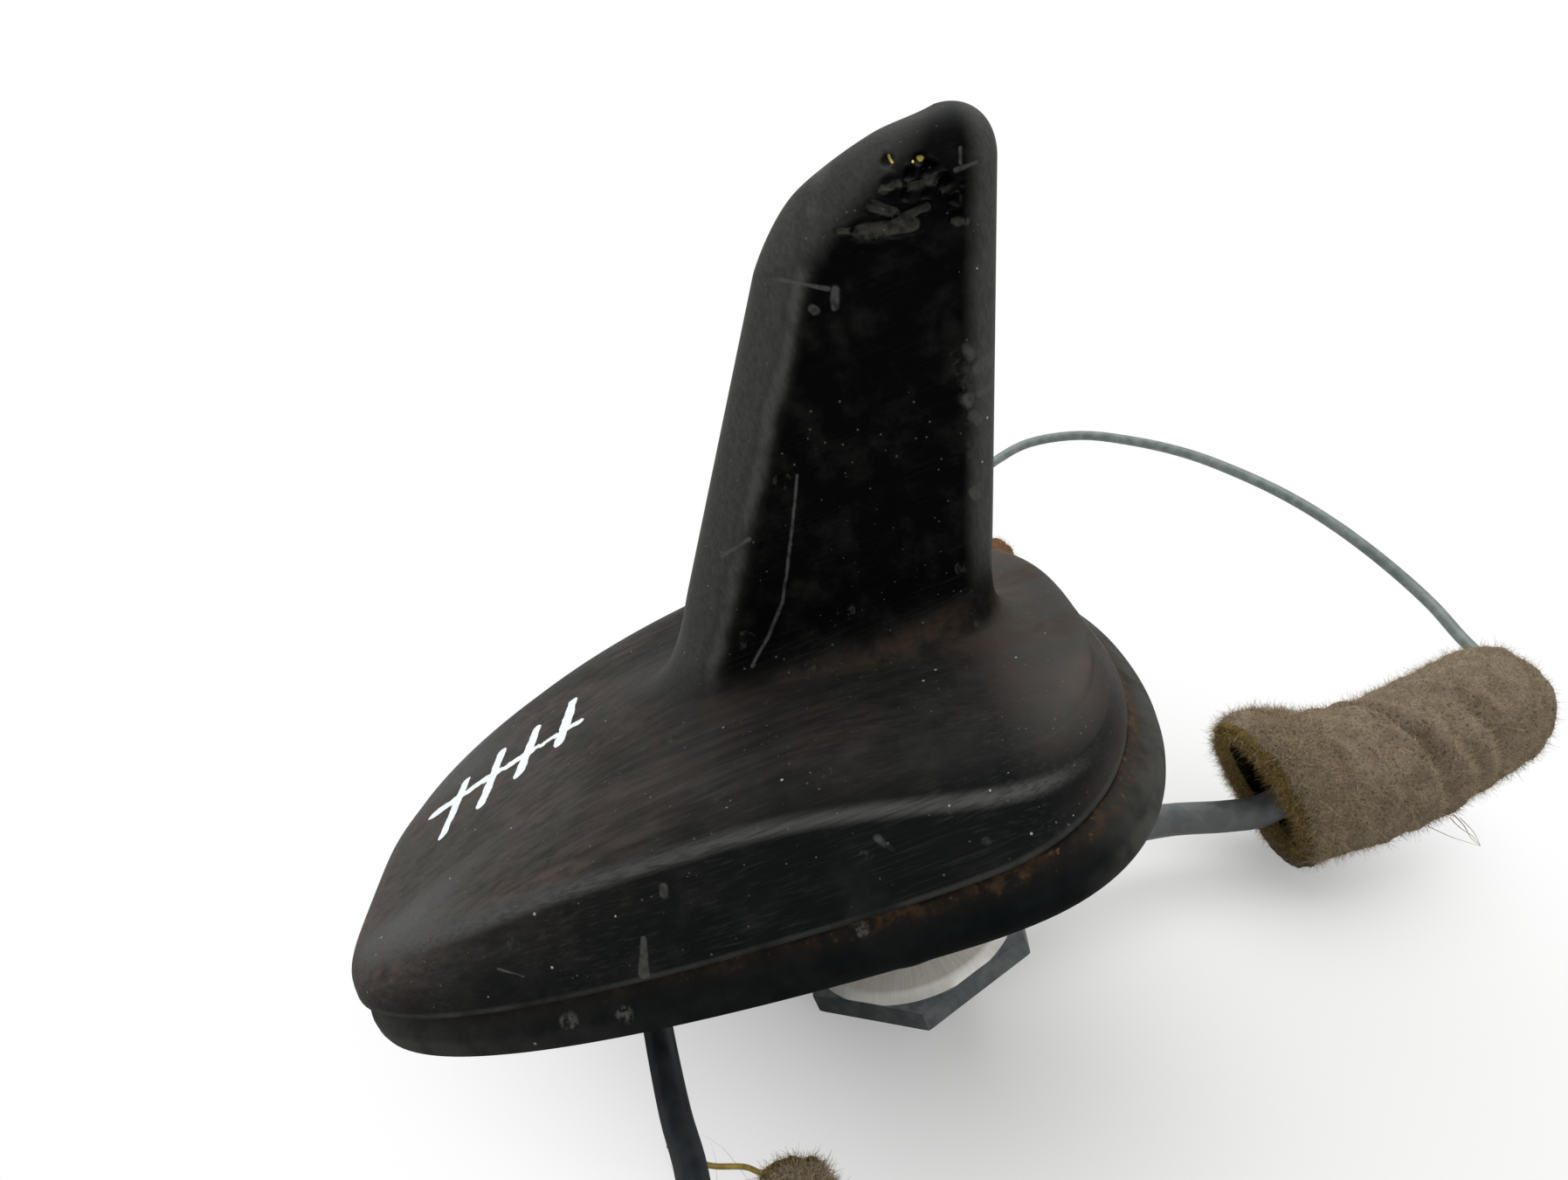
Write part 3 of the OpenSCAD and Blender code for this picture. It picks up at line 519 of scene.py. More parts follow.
gasket_rings = [lifted(round_outline(HOLE_WIDTH), 0)]
for by, z in GASKET_SECTION:
    gasket_rings.append(lifted(outline(inset(GASKET_PLAN, by), GASKET_NOSE, GASKET_TAIL), z))
gasket_rings.append(lifted(round_outline(HOLE_WIDTH), POCKET_FLOOR_Z))
gasket_faces = []
for k in range(len(gasket_rings)):
    gasket_faces += band(k * ring_size, (k + 1) % len(gasket_rings) * ring_size, ring_size)
gasket = mesh_piece("rubber_gasket", np.vstack(gasket_rings), gasket_faces)
place_piece(gasket, "rubber", "seal_gasket")
print("gasket faces:", len(gasket.data.polygons))

# %% [markdown]
# ## The nut
# The nut has grey zinc-plated flats. On top of the hexagon stands a low round seat, turned
# on a lathe and worn bright, so the bright part is bounded by a round line. The seat lies in
# the gasket's shade, so its colour is raised further as painted light. The loft below takes
# the hexagon's radius at each angle for the sides, and plain radii for the seat.

# %% Nut
NUT_FLAT = 27.5 / 2
NUT_TURN = math.radians(-36.3)
SEAT, LEDGE = 1, 2
LEDGE_ROW = 5
SEAT_ROWS = (6, 7, 8, 9)
CURVED_ROWS = (6, 7)
# Each row of the section: kind, value, height; a height of None is the top of a side
NUT_SECTION = [
    ("bore", 9.3, 0), ("side", -0.5, 0), ("side", -0.1, 0.06), ("side", 0, 0.25),
    ("side", 0, None), ("side", -0.1, None), ("seat", 13.85, 3.1), ("round", 13.1, 3.95),
    ("round", 12.7, 4.2), ("round", 9.9, 4.8), ("round", 9.3, 4.3)]


def nut_radius(angle):
    """Radius of a hexagon with slightly rounded corners."""
    step = math.radians(60)
    off = (angle - NUT_TURN + step / 2) % step - step / 2
    off_corner = step / 2 - abs((angle - NUT_TURN) % step - step / 2)
    sharp = NUT_FLAT / math.cos(step / 2 - abs(off))
    return sharp - 0.06 * math.exp(-(off_corner / 0.02) ** 2)


def nut_point(kind, value, height, angle):
    """One point of the nut; the tops of the sides fall a little towards the corners."""
    r = nut_radius(angle)
    radius = {"seat": min(r - 0.14, value), "side": r + value}.get(kind, value)
    high = 2.95 - (r - NUT_FLAT) * 0.15 - value if height is None else height
    return radius * math.cos(angle), radius * math.sin(angle), NUT_BOTTOM + high


def nut_mesh(sides=216):
    angles = [NUT_TURN + 2 * math.pi * i / sides for i in range(sides)]
    points = [nut_point(*row, a) for row in NUT_SECTION for a in angles]
    faces = []
    for k in range(len(NUT_SECTION)):
        faces += band(k * sides, (k + 1) % len(NUT_SECTION) * sides, sides)
    piece = mesh_piece("clamping_nut", points, faces)
    for polygon in piece.data.polygons:
        row = polygon.index // sides
        polygon.material_index = SEAT if row in SEAT_ROWS else LEDGE if row == LEDGE_ROW else 0
        polygon.use_smooth = row in CURVED_ROWS
    return piece


nut = nut_mesh()
place_piece(nut, "nut_steel", "hex_nut")
print("nut faces:", len(nut.data.polygons))

# %% [markdown]
# ## The cast base and its threaded stud
# The solid's stud is plain. Here the cast piece is copied, the stud's smooth skin is taken
# off and a screw thread of 1.5 mm pitch is wound in its place, cut into the same diameter.

# %% Thread
STUD_RADIUS = 9
STUD_TOP = -1.3
PITCH = 1.5
THREAD_LENGTH = 25.4
THREAD_START = -27.4
THREAD_SIDES = 56
# One turn's profile: how far along the pitch, and the radius there
THREAD_PROFILE = [(0, 8.2), (0.3, 8.2), (0.62, 8.96), (0.88, 8.96), (1.2, 8.2)]


def on_stud(vertex):
    """Whether a corner of the solid lies on the stud's plain skin."""
    off = abs(math.hypot(vertex.co.x, vertex.co.y) - STUD_RADIUS * MM)
    return off < 0.06 * MM and vertex.co.z < STUD_TOP * MM


def circle(shape, radius, z, share=1.0):
    """A circle of new corners about the stud's axis, made smaller by a share."""
    turns = [2 * math.pi * i / THREAD_SIDES for i in range(THREAD_SIDES)]
    return [shape.verts.new((radius * math.cos(a) * MM * share, radius * math.sin(a) * MM * share,
                             z * MM)) for a in turns]


def wind_thread(shape):
    """A screw thread, wound from the stud's tip upwards."""
    rows = []
    for i in range(int(THREAD_LENGTH / PITCH) * THREAD_SIDES + 1):
        a = 2 * math.pi * i / THREAD_SIDES
        base = THREAD_START + PITCH * i / THREAD_SIDES
        rows.append([shape.verts.new((r * math.cos(a) * MM, r * math.sin(a) * MM, (base + z) * MM))
                     for z, r in THREAD_PROFILE])
    for one, two in zip(rows, rows[1:]):
        for k in range(len(THREAD_PROFILE) - 1):
            shape.faces.new((one[k], two[k], two[k + 1], one[k + 1]))


# %% Base with thread


def threaded_base():
    shape = bmesh.new()
    shape.from_mesh(solids["base_plate"].data)
    skin = [f for f in shape.faces if all(on_stud(v) for v in f.verts) and abs(f.normal.z) < 0.5]
    bmesh.ops.delete(shape, geom=skin, context="FACES")
    wind_thread(shape)
    # A plain core under the thread, a little narrower at the tip, closes the piece
    bottom = circle(shape, STUD_RADIUS, -27.6, 0.955)
    top = circle(shape, 8.25, -1.4)
    for i in range(THREAD_SIDES):
        j = (i + 1) % THREAD_SIDES
        shape.faces.new((bottom[i], bottom[j], top[j], top[i]))
    mesh = bpy.data.meshes.new("cast_base")
    shape.to_mesh(mesh)
    shape.free()
    mesh.materials.clear()
    piece = bpy.data.objects.new("cast_base", mesh)
    bpy.context.scene.collection.objects.link(piece)
    return piece


base = threaded_base()
place_piece(base, "die_cast", "base_plate")
print("base faces:", len(base.data.polygons))

# %% [markdown]
# ## The foam sleeves
# The plugs rattle, so each is wrapped in a sleeve of soft grey-brown foam with a felted
# skin. The long one is squashed and folded. It is lofted along its bent axis with a
# flattened section, pressed in along two folds, roughened with noise, and covered with
# thousands of short curled fibres, because the fuzz is what makes its outline look soft.

# %% Axis, noise and folds of a foam tube
# Material slots on a foam sleeve: slot 0 is the skin, then the cut ends and the bore
CUT, BORE = 1, 2
END_SHARES = (0.08, 0.25, 0.5, 0.75, 0.92)


def axis_frame(points, i):
    """Along, across and up at one place of a foam tube's axis."""
    a = Vector(points[max(i - 1, 0)])
    b = Vector(points[min(i + 1, len(points) - 1)])
    along = (b - a).normalized()
    across = along.cross(table_up).normalized()
    return along, across, across.cross(along)


def foam_point(place, seed, size):
    """A soft lump of noise at a place in millimetres."""
    p = Vector(place) / size + Vector((seed, seed * 0.7, 0))
    return noise.fractal(p, 0.9, 2.1, 4)


def at(value, t):
    """A size that may change along a tube."""
    return value(t) if callable(value) else value


def fold_press(folds, t, a):
    """How deep the folds press in at a share t of the length and an angle a."""
    press = 0
    for where, angle, depth, width, skew in folds:
        d = math.atan2(math.sin(a - math.radians(angle)), math.cos(a - math.radians(angle)))
        line = (t - where - skew * d) / width
        # The foam that a fold pushes aside stands up a little on both sides of it
        groove = math.exp(-line * line) - 0.25 * math.exp(-(abs(line) - 2.2) ** 2)
        press += depth * groove * math.exp(-(d / 1.15) ** 2)
    return press


# %% Skin and bore of a foam tube


def foam_rows(axis, high, wide, bore_high, bore_wide, folds, sides, lump, turn, slant):
    """Rows of points on a sleeve's skin and in its bore."""
    last = len(axis) - 1
    outer_rows, inner_rows = [], []
    for i in range(last + 1):
        t = i / last
        along, across, lift = axis_frame(axis, i)
        roll = math.radians(at(turn, t))
        wide_dir = across * math.cos(roll) + lift * math.sin(roll)
        high_dir = lift * math.cos(roll) - across * math.sin(roll)
        # The ends are drawn in over four rows, and the mouth is cut at a slant
        round_off = 1 - 0.13 * max(0, 1 - min(t, 1 - t) * last / 4) ** 2
        lean = slant * max(0, 1 - t / 0.3) ** 2
        centre = Vector(axis[i])
        row_out, row_in = [], []
        for k in range(sides):
            a = 2 * math.pi * k / sides
            way = wide_dir * math.cos(a) * at(wide, t) + high_dir * math.sin(a) * at(high, t)
            shift = along * (-lean * math.sin(a))
            place = centre + way * round_off
            bump = lump * foam_point(place, 3.1, 4.2) + 0.22 * lump * foam_point(place, 8.3, 1.2)
            swell = 1 + (bump - fold_press(folds, t, a)) / way.length
            row_out.append(centre + shift + way * (round_off * swell))
            hole = wide_dir * math.cos(a) * at(bore_wide, t)
            hole = hole + high_dir * math.sin(a) * at(bore_high, t)
            row_in.append(centre + shift + hole * (1 + 0.08 * foam_point(centre + hole, 5.7, 2)))
        outer_rows.append(row_out)
        inner_rows.append(row_in)
    return outer_rows, inner_rows


# %% Cut ends, and the whole foam tube


def cut_end(points, faces, skin_row, bore_row, outward, skin_start, bore_start):
    """Closes an end with a rough, crowned ring between the skin and the bore."""
    sides = len(skin_row)
    start = len(points)
    for share in END_SHARES:
        crown = 1.1 * (1 - (2 * share - 1) ** 4)
        for a, b in zip(skin_row, bore_row):
            middle = a.lerp(b, share)
            rough = 0.7 * foam_point(middle, 2.2, 1.1)
            points.append(middle + outward * (crown * (1 + rough)))
    faces += band(skin_start, start, sides)
    for m in range(len(END_SHARES) - 1):
        faces += band(start + m * sides, start + (m + 1) * sides, sides)
    faces += band(start + (len(END_SHARES) - 1) * sides, bore_start, sides)


def foam_tube(name, axis, high, wide, bore_high, bore_wide, folds, sides, lump, turn=0, slant=0):
    """A foam sleeve; a fold is (place 0 to 1, angle in degrees, depth, width, skew)."""
    outer_rows, inner_rows = foam_rows(axis, high, wide, bore_high, bore_wide, folds, sides,
                                       lump, turn, slant)
    points = [p for row in outer_rows + inner_rows for p in row]
    last = len(axis) - 1
    bore_start = len(axis) * sides
    faces = []
    for start in (0, bore_start):
        for k in range(last):
            faces += band(start + k * sides, start + (k + 1) * sides, sides)
    tube_faces = len(faces)
    for k, sign in ((0, -1), (last, 1)):
        outward = axis_frame(axis, k)[0] * sign
        cut_end(points, faces, outer_rows[k], inner_rows[k], outward, k * sides,
                bore_start + k * sides)
    piece = mesh_piece(name, points, faces)
    for polygon in piece.data.polygons:
        if polygon.index >= tube_faces:
            polygon.material_index = CUT
        elif polygon.index >= tube_faces // 2:
            polygon.material_index = BORE
    return piece


# %% [markdown]
# ## Fibres
# Felted foam ends in short curled fibres. Blender's hair could grow them, but ribbons in a
# mesh look the same, keep their number, and come along in every export. Each fibre starts a
# little under the skin, leaves it in a stray direction and curls on its way to a thin tip.

# %% One fibre
FIBRE_ROOT = 0.12
FIBRE_STRAY = 0.9
FIBRE_CURL = 0.75
MOUTH_BOOST = 5


def ribbon(points, faces, line, width, side):
    """A thin ribbon along a line that narrows to its tip."""
    start = len(points)
    for i, place in enumerate(line):
        half = side * width * (1 - 0.75 * i / (len(line) - 1)) / 2
        points += [place - half, place + half]
    for i in range(len(line) - 1):
        q = start + i * 2
        faces.append((q, q + 1, q + 3, q + 2))


def any_way(rng):
    """A random arrow in a cube."""
    return Vector((rng.uniform(-1, 1), rng.uniform(-1, 1), rng.uniform(-1, 1)))


def fibre(rng, mesh, polygon, long):
    """The line of one curled fibre that grows on a polygon, and its flat side."""
    corners = [mesh.vertices[v].co for v in polygon.vertices]
    weights = [rng.random() for _ in corners]
    total = sum(weights)
    root = sum((c * (w / total) for c, w in zip(corners, weights)), Vector()) / MM
    way = (polygon.normal + any_way(rng) * FIBRE_STRAY).normalized()
    side = way.cross(any_way(rng)).normalized()
    curl = any_way(rng) * FIBRE_CURL
    length = long * rng.uniform(0.4, 1.3)
    line = [root - way * FIBRE_ROOT + way * length * t + curl * length * t * t for t in (0, 0.5, 1)]
    return line, side


# %% A coat of fibres


def fibre_coat(name, piece, amount, long, width, seed, mouth=None, strands=()):
    """Short curled fibres on a piece's skin; mouth is a place and radius that gets more."""
    rng = random.Random(seed)
    mesh = piece.data
    polygons = [p for p in mesh.polygons if p.material_index != BORE]
    if mouth:
        near = [p for p in polygons if (p.center / MM - Vector(mouth[0])).length < mouth[1]]
        polygons = polygons + near * MOUTH_BOOST
    areas = np.cumsum([p.area for p in polygons])
    points, faces, slots = [], [], []
    for _ in range(amount):
        polygon = polygons[int(np.searchsorted(areas, rng.random() * areas[-1]))]
        line, side = fibre(rng, mesh, polygon, long)
        ribbon(points, faces, line, width, side)
        slots += [polygon.material_index] * (len(faces) - len(slots))
    for keys, thick in strands:
        line = [Vector(p) for p in smooth(keys, 5)]
        ribbon(points, faces, line, thick, Vector((0.6, -0.5, 0.6)).normalized())
    data = bpy.data.meshes.new(name)
    data.from_pydata([tuple(p * MM) for p in points], [], faces)
    data.update()
    # A fibre keeps the slot of its polygon, so those on a cut end take the cut's colour
    for polygon, slot in zip(data.polygons, slots):
        polygon.material_index = slot
    coat = bpy.data.objects.new(name, data)
    bpy.context.scene.collection.objects.link(coat)
    return coat


# %% Long sleeve
SLEEVE_SIDES = 120
LONG_FOLDS = [
    (0.36, 70, 5.2, 0.024, -0.07), (0.62, 70, 3.2, 0.026, -0.05), (0.22, 75, 0.9, 0.03, 0.07),
    (0.56, 10, 0.8, 0.03, -0.1), (0.86, 80, 0.5, 0.03, -0.05), (0.33, 250, 1.4, 0.05, 0.05)]
sleeve_axis = smooth(laid([
    (57.6, 32.6, 13.2), (62.5, 34.2, 13.2), (72.3, 38.5, 13), (85.3, 47, 13), (101.5, 60, 13),
    (116.3, 71.6, 13)]), [12, 16, 22, 26, 24])


def ease(t, over):
    """Rises from 0 to 1 while t goes from 0 to over."""
    u = min(1, max(0, t / over))
    return u * u * (3 - 2 * u)


def sleeve_high(t):
    belly = 0.9 * math.exp(-((t - 0.82) / 0.12) ** 2)
    return 13.1 - 1.2 * ease(t, 0.3) - 0.5 * math.sin(3.1 * t) + belly


def sleeve_wide(t):
    return 9.6 + 1.9 * ease(t, 0.5)


long_sleeve = foam_tube(
    "long_foam_sleeve", sleeve_axis, sleeve_high, sleeve_wide,
    lambda t: 9.2 - 2.2 * ease(t, 0.2), lambda t: 3.9 + 1.8 * ease(t, 0.16),
    LONG_FOLDS, SLEEVE_SIDES, 0.62, lambda t: 14 * (1 - ease(t, 0.6)), slant=7.6)
place_piece(long_sleeve, "foam", "foam_sleeve")
# Torn strands hang from the underside and meet at one place on the table
TUFT_END = (93.1, 39.9, 0.6)
tuft_strands = [
    (laid([(85.8, 42.4, 2.6), (88.6, 41.0, 1.6), (91, 40.4, 1.0), TUFT_END]), 0.2),
    (laid([(91.2, 43.4, 4.6), (92.0, 42.0, 3.2), (92.2, 40.8, 1.6), TUFT_END]), 0.22),
    (laid([(90.4, 43.2, 4.0), (91.4, 42.2, 2.6), (92.8, 41.4, 1.6), TUFT_END]), 0.2),
    (laid([(92.0, 43.0, 4.2), (93.2, 41.8, 2.4), (93.3, 40.8, 1.2), TUFT_END]), 0.16)]
long_fuzz = fibre_coat("long_foam_fuzz", long_sleeve, 48000, 1.15, 0.075, 11,
                       mouth=(sleeve_axis[0], 13.5), strands=tuft_strands)
place_piece(long_fuzz, "foam")
print("long sleeve faces:", len(long_sleeve.data.polygons),
      "fibre faces:", len(long_fuzz.data.polygons))

# %% Short sleeves


def heading_axis(start, end, length, count):
    """Points along the table from start towards end, given on the table."""
    a = Vector(on_table(*start))
    b = Vector(on_table(*end))
    way = (b - a).normalized()
    return [tuple(a + way * length * i / (count - 1)) for i in range(count)]


front_axis = heading_axis((-18.0, -36.5, 4.4), (-15.2, -57.2, 4.4), 26.6, 44)
front_foam = foam_tube("front_foam_sleeve", front_axis, 4.05, 4.05, 2.85, 2.85,
                       [(0.5, 90, 0.4, 0.08, 0.05)], 56, 0.35)
place_piece(front_foam, "foam", "foam_front")
front_strands = [
    (laid([(-21.4, -37.0, 3.0), (-25.0, -29.6, 1.0), (-26.6, -27.4, 0.5), (-27.9, -26.4, 0.5)]), 0.1),
    (laid([(-22.0, -38.4, 2.6), (-26.0, -33.6, 0.8), (-26.5, -29.9, 0.5), (-26.9, -27.6, 0.5)]), 0.1),
    (laid([(-22.4, -39.0, 2.0), (-27.2, -34.8, 0.6), (-30.6, -31.0, 0.5), (-31.3, -27.4, 0.5)]), 0.08)]
front_fuzz = fibre_coat("front_foam_fuzz", front_foam, 12000, 0.9, 0.06, 12,
                        mouth=(front_axis[0], 5.5), strands=front_strands)
place_piece(front_fuzz, "foam")
far_axis = heading_axis((15.2, 141, 7.5), (40, 141, 7.5), 31, 50)
far_foam = foam_tube("far_foam_sleeve", far_axis, 7.1, 7.1, 2.85, 2.85,
                     [(0.35, 90, 0.8, 0.06, 0.08), (0.7, 120, 0.6, 0.06, -0.05)], 64, 0.55)
place_piece(far_foam, "foam_brown", "foam_far")
far_fuzz = fibre_coat("far_foam_fuzz", far_foam, 9000, 0.9, 0.07, 13)
place_piece(far_fuzz, "foam_brown")
print("short sleeves:", len(front_foam.data.polygons), len(far_foam.data.polygons))

# %% [markdown]
# ## Placing the leads
# Each lead rides with the antenna and stands for its solid of the model, which is hidden. The
# plugs are solids of the model; a foam sleeve is a piece on its lead.

place_piece(lead_front, "cable_jacket", "lead_front")
place_piece(lead_rear, "cable_jacket", "lead_rear")
place_piece(lead_thin, "cable_jacket", "lead_thin")
place_piece(yellow_wire, "wire_yellow", "yellow_wire")
print("leads declared:", [lead.name for lead in (lead_front, lead_rear, lead_thin, yellow_wire)])

# %% [markdown]
# ## Building blocks for the finishes
# A material is a small network of nodes. The helper below adds a node, sets its properties
# and links or fills its inputs in one line. Effects that several finishes share are node
# groups: dust, soft patches, a single scratch or brush stroke, and the grain of a mould.

# %% Node helpers


def add(tree, kind, inputs=None, **settings):
    item = tree.nodes.new(kind)
    for key, value in settings.items():
        setattr(item, key, value)
    for key, value in (inputs or {}).items():
        if isinstance(value, bpy.types.NodeSocket):
            tree.links.new(value, item.inputs[key])
        else:
            item.inputs[key].default_value = value
    return item


# %% Arithmetic with nodes


def calc(tree, operation, a, b=0.0, clamp=False):
    """Arithmetic with two numbers."""
    item = add(tree, "ShaderNodeMath", {0: a, 1: b}, operation=operation, use_clamp=clamp)
    return item.outputs[0]


def vector_calc(tree, operation, a, b):
    """Arithmetic with two arrows; a dot product or a distance comes out as a number."""
    item = add(tree, "ShaderNodeVectorMath", {0: a, 1: b}, operation=operation)
    return item.outputs["Value" if operation in ("DOT_PRODUCT", "DISTANCE") else "Vector"]


def scaled(tree, a, by):
    return add(tree, "ShaderNodeVectorMath", {0: a, "Scale": by}, operation="SCALE").outputs[0]


def split(tree, a):
    """The X, Y and Z of an arrow or a place."""
    return add(tree, "ShaderNodeSeparateXYZ", {"Vector": a}).outputs


# %% Soft steps, colours and masks


def ramp(tree, value, low, high, to_low=0.0, to_high=1.0):
    """A soft step from low to high."""
    item = add(tree, "ShaderNodeMapRange", {"Value": value, "From Min": low, "From Max": high,
                                            "To Min": to_low, "To Max": to_high},
               interpolation_type="SMOOTHSTEP")
    return item.outputs["Result"]


def blend(tree, share, a, b):
    """Mixes two colours."""
    item = tree.nodes.new("ShaderNodeMix")
    item.data_type = "RGBA"
    for socket, value in ((item.inputs[0], share), (item.inputs[6], a), (item.inputs[7], b)):
        if isinstance(value, bpy.types.NodeSocket):
            tree.links.new(value, socket)
        elif isinstance(value, (tuple, list)):
            socket.default_value = (*value, 1) if len(value) == 3 else value
        else:
            socket.default_value = value
    return item.outputs[2]


def tint(tree, colour, mask, share, over):
    """Lays a second colour over the first, by a share of the mask."""
    return blend(tree, calc(tree, "MULTIPLY", mask, share), colour, over)


def times(tree, *masks):
    """Masks multiplied with each other."""
    total = masks[0]
    for mask in masks[1:]:
        total = calc(tree, "MULTIPLY", total, mask)
    return total


def any_of(tree, masks):
    """The strongest of several masks at each place."""
    total = masks[0]
    for mask in masks[1:]:
        total = calc(tree, "MAXIMUM", total, mask)
    return total


# %% Noise and streaks


def clouds(tree, where, scale, detail=3.0, roughness=0.55):
    item = add(tree, "ShaderNodeTexNoise", {"Vector": where, "Scale": scale, "Detail": detail,
                                            "Roughness": roughness})
    return item.outputs["Fac"]


def stretched(tree, where, scale):
    """The place, scaled along each axis, so that a pattern comes out as streaks."""
    return vector_calc(tree, "MULTIPLY", where, scale)


# %% Making and using a node group


def new_group(name, inputs, outputs):
    """An empty node group with named inputs (name, kind, default) and outputs (name, kind)."""
    group = bpy.data.node_groups.new(name, "ShaderNodeTree")
    for label, kind, default in inputs:
        socket = group.interface.new_socket(label, in_out="INPUT", socket_type=kind)
        if default is not None:
            socket.default_value = default
    for label, kind in outputs:
        group.interface.new_socket(label, in_out="OUTPUT", socket_type=kind)
    start = group.nodes.new("NodeGroupInput")
    end = group.nodes.new("NodeGroupOutput")
    return group, start.outputs, end.inputs


def use(tree, group, inputs):
    return add(tree, "ShaderNodeGroup", inputs, node_tree=group).outputs


# %% Group: dust specks
dust_group, given, result = new_group(
    "dust_specks",
    [("Place", "NodeSocketVector", None), ("Spacing", "NodeSocketFloat", 2.0),
     ("Size", "NodeSocketFloat", 0.1), ("Share", "NodeSocketFloat", 0.3)],
    [("Mask", "NodeSocketFloat")])
cells = add(dust_group, "ShaderNodeTexVoronoi",
            {"Vector": given["Place"], "Scale": calc(dust_group, "DIVIDE", 1.0, given["Spacing"]),
             "Randomness": 1.0})
parts = add(dust_group, "ShaderNodeSeparateColor", {"Color": cells.outputs["Color"]})
reach = calc(dust_group, "DIVIDE", given["Size"], given["Spacing"])
reach = calc(dust_group, "MULTIPLY", reach, parts.outputs["Green"])
inside = calc(dust_group, "LESS_THAN", cells.outputs["Distance"], reach)
picked = calc(dust_group, "LESS_THAN", parts.outputs["Red"], given["Share"])
dust_group.links.new(calc(dust_group, "MULTIPLY", inside, picked), result["Mask"])


def dust(tree, place, spacing, size, share):
    """Round specks: how far apart, how big at most, and how many of the places hold one."""
    return use(tree, dust_group, {"Place": place, "Spacing": spacing, "Size": size,
                                  "Share": share})["Mask"]


# %% Group: soft patches
patch_group, given, result = new_group(
    "soft_patches",
    [("Place", "NodeSocketVector", None), ("Size", "NodeSocketFloat", 4.0),
     ("Low", "NodeSocketFloat", 0.45), ("High", "NodeSocketFloat", 0.65)],
    [("Mask", "NodeSocketFloat")])
finer = calc(patch_group, "DIVIDE", 1.0, given["Size"])
cloud = clouds(patch_group, given["Place"], finer, 6.0, 0.62)
patch_group.links.new(ramp(patch_group, cloud, given["Low"], given["High"]), result["Mask"])


def patches(tree, place, size, low, high):
    """Cloudy patches of a size; low and high say how much of the clouds shows."""
    return use(tree, patch_group, {"Place": place, "Size": size, "Low": low, "High": high})["Mask"]


# %% Group: one stroke, from Start to End
stroke_group, given, result = new_group(
    "stroke",
    [("Place", "NodeSocketVector", None), ("Start", "NodeSocketVector", None),
     ("End", "NodeSocketVector", None), ("Width", "NodeSocketFloat", 0.5),
     ("Soft", "NodeSocketFloat", 0.15), ("Wobble", "NodeSocketFloat", 0.3),
     ("Taper", "NodeSocketFloat", 0.0)],
    [("Mask", "NodeSocketFloat")])
shake = add(stroke_group, "ShaderNodeTexNoise",
            {"Vector": given["Place"], "Scale": 0.6, "Detail": 3.0}).outputs["Color"]
shake = vector_calc(stroke_group, "SUBTRACT", shake, (0.5, 0.5, 0.5))
shake = scaled(stroke_group, shake, given["Wobble"])
spot = vector_calc(stroke_group, "ADD", given["Place"], shake)
way = vector_calc(stroke_group, "SUBTRACT", given["End"], given["Start"])
away = vector_calc(stroke_group, "SUBTRACT", spot, given["Start"])
run = vector_calc(stroke_group, "DOT_PRODUCT", away, way)
whole = vector_calc(stroke_group, "DOT_PRODUCT", way, way)
# The nearest place on the stroke, as a share of its length; no stroke has a length of zero
share = calc(stroke_group, "DIVIDE", run, calc(stroke_group, "MAXIMUM", whole, 0.0001), clamp=True)
gap = vector_calc(stroke_group, "DISTANCE", away, scaled(stroke_group, way, share))
thin = calc(stroke_group, "SUBTRACT", 1.0, calc(stroke_group, "MULTIPLY", share, given["Taper"]))
half = times(stroke_group, given["Width"], 0.5, thin)
outside = ramp(stroke_group, gap, half, calc(stroke_group, "ADD", half, given["Soft"]))
stroke_group.links.new(calc(stroke_group, "SUBTRACT", 1.0, outside), result["Mask"])


def strokes(tree, place, rows, taper=0.0):
    """A mask on several strokes; a taper under zero makes them wider towards the end."""
    return any_of(tree, [
        use(tree, stroke_group, {"Place": place, "Start": a, "End": b, "Width": width, "Soft": soft,
                                 "Wobble": wobble, "Taper": taper})["Mask"]
        for a, b, width, soft, wobble in rows])


# %% Group: grain of the mould
grain_group, given, result = new_group(
    "mould_grain",
    [("Place", "NodeSocketVector", None), ("Size", "NodeSocketFloat", 0.3)],
    [("Height", "NodeSocketFloat")])
finer = calc(grain_group, "DIVIDE", 1.0, given["Size"])
pebbles = add(grain_group, "ShaderNodeTexVoronoi",
              {"Vector": given["Place"], "Scale": finer, "Smoothness": 0.6}, feature="SMOOTH_F1")
fine = clouds(grain_group, given["Place"], calc(grain_group, "MULTIPLY", finer, 1.7), 4.0)
both = calc(grain_group, "ADD", calc(grain_group, "MULTIPLY", pebbles.outputs["Distance"], 0.6),
            calc(grain_group, "MULTIPLY", fine, 0.8))
grain_group.links.new(both, result["Height"])
print("groups:", [g.name for g in bpy.data.node_groups])

# %% Starting a material


def start_material(name, roughness=0.5, metallic=0.0, specular=0.5):
    """A new material, its tree, its shader, and places in millimetres."""
    material = bpy.data.materials.new(name)
    material.use_nodes = True
    tree = material.node_tree
    shader = tree.nodes["Principled BSDF"]
    shader.inputs["Roughness"].default_value = roughness
    shader.inputs["Metallic"].default_value = metallic
    shader.inputs["Specular IOR Level"].default_value = specular
    where = tree.nodes.new("ShaderNodeTexCoord").outputs["Object"]
    return material, tree, shader, scaled(tree, where, 1 / MM)


def set_bump(tree, shader, height, depth_mm):
    bump = add(tree, "ShaderNodeBump", {"Height": height, "Strength": 1.0,
                                        "Distance": depth_mm * MM})
    tree.links.new(bump.outputs["Normal"], shader.inputs["Normal"])


def feed(tree, shader, name, socket):
    tree.links.new(socket, shader.inputs[name])


def facing(tree):
    """The direction that the surface faces."""
    return tree.nodes.new("ShaderNodeNewGeometry").outputs["Normal"]
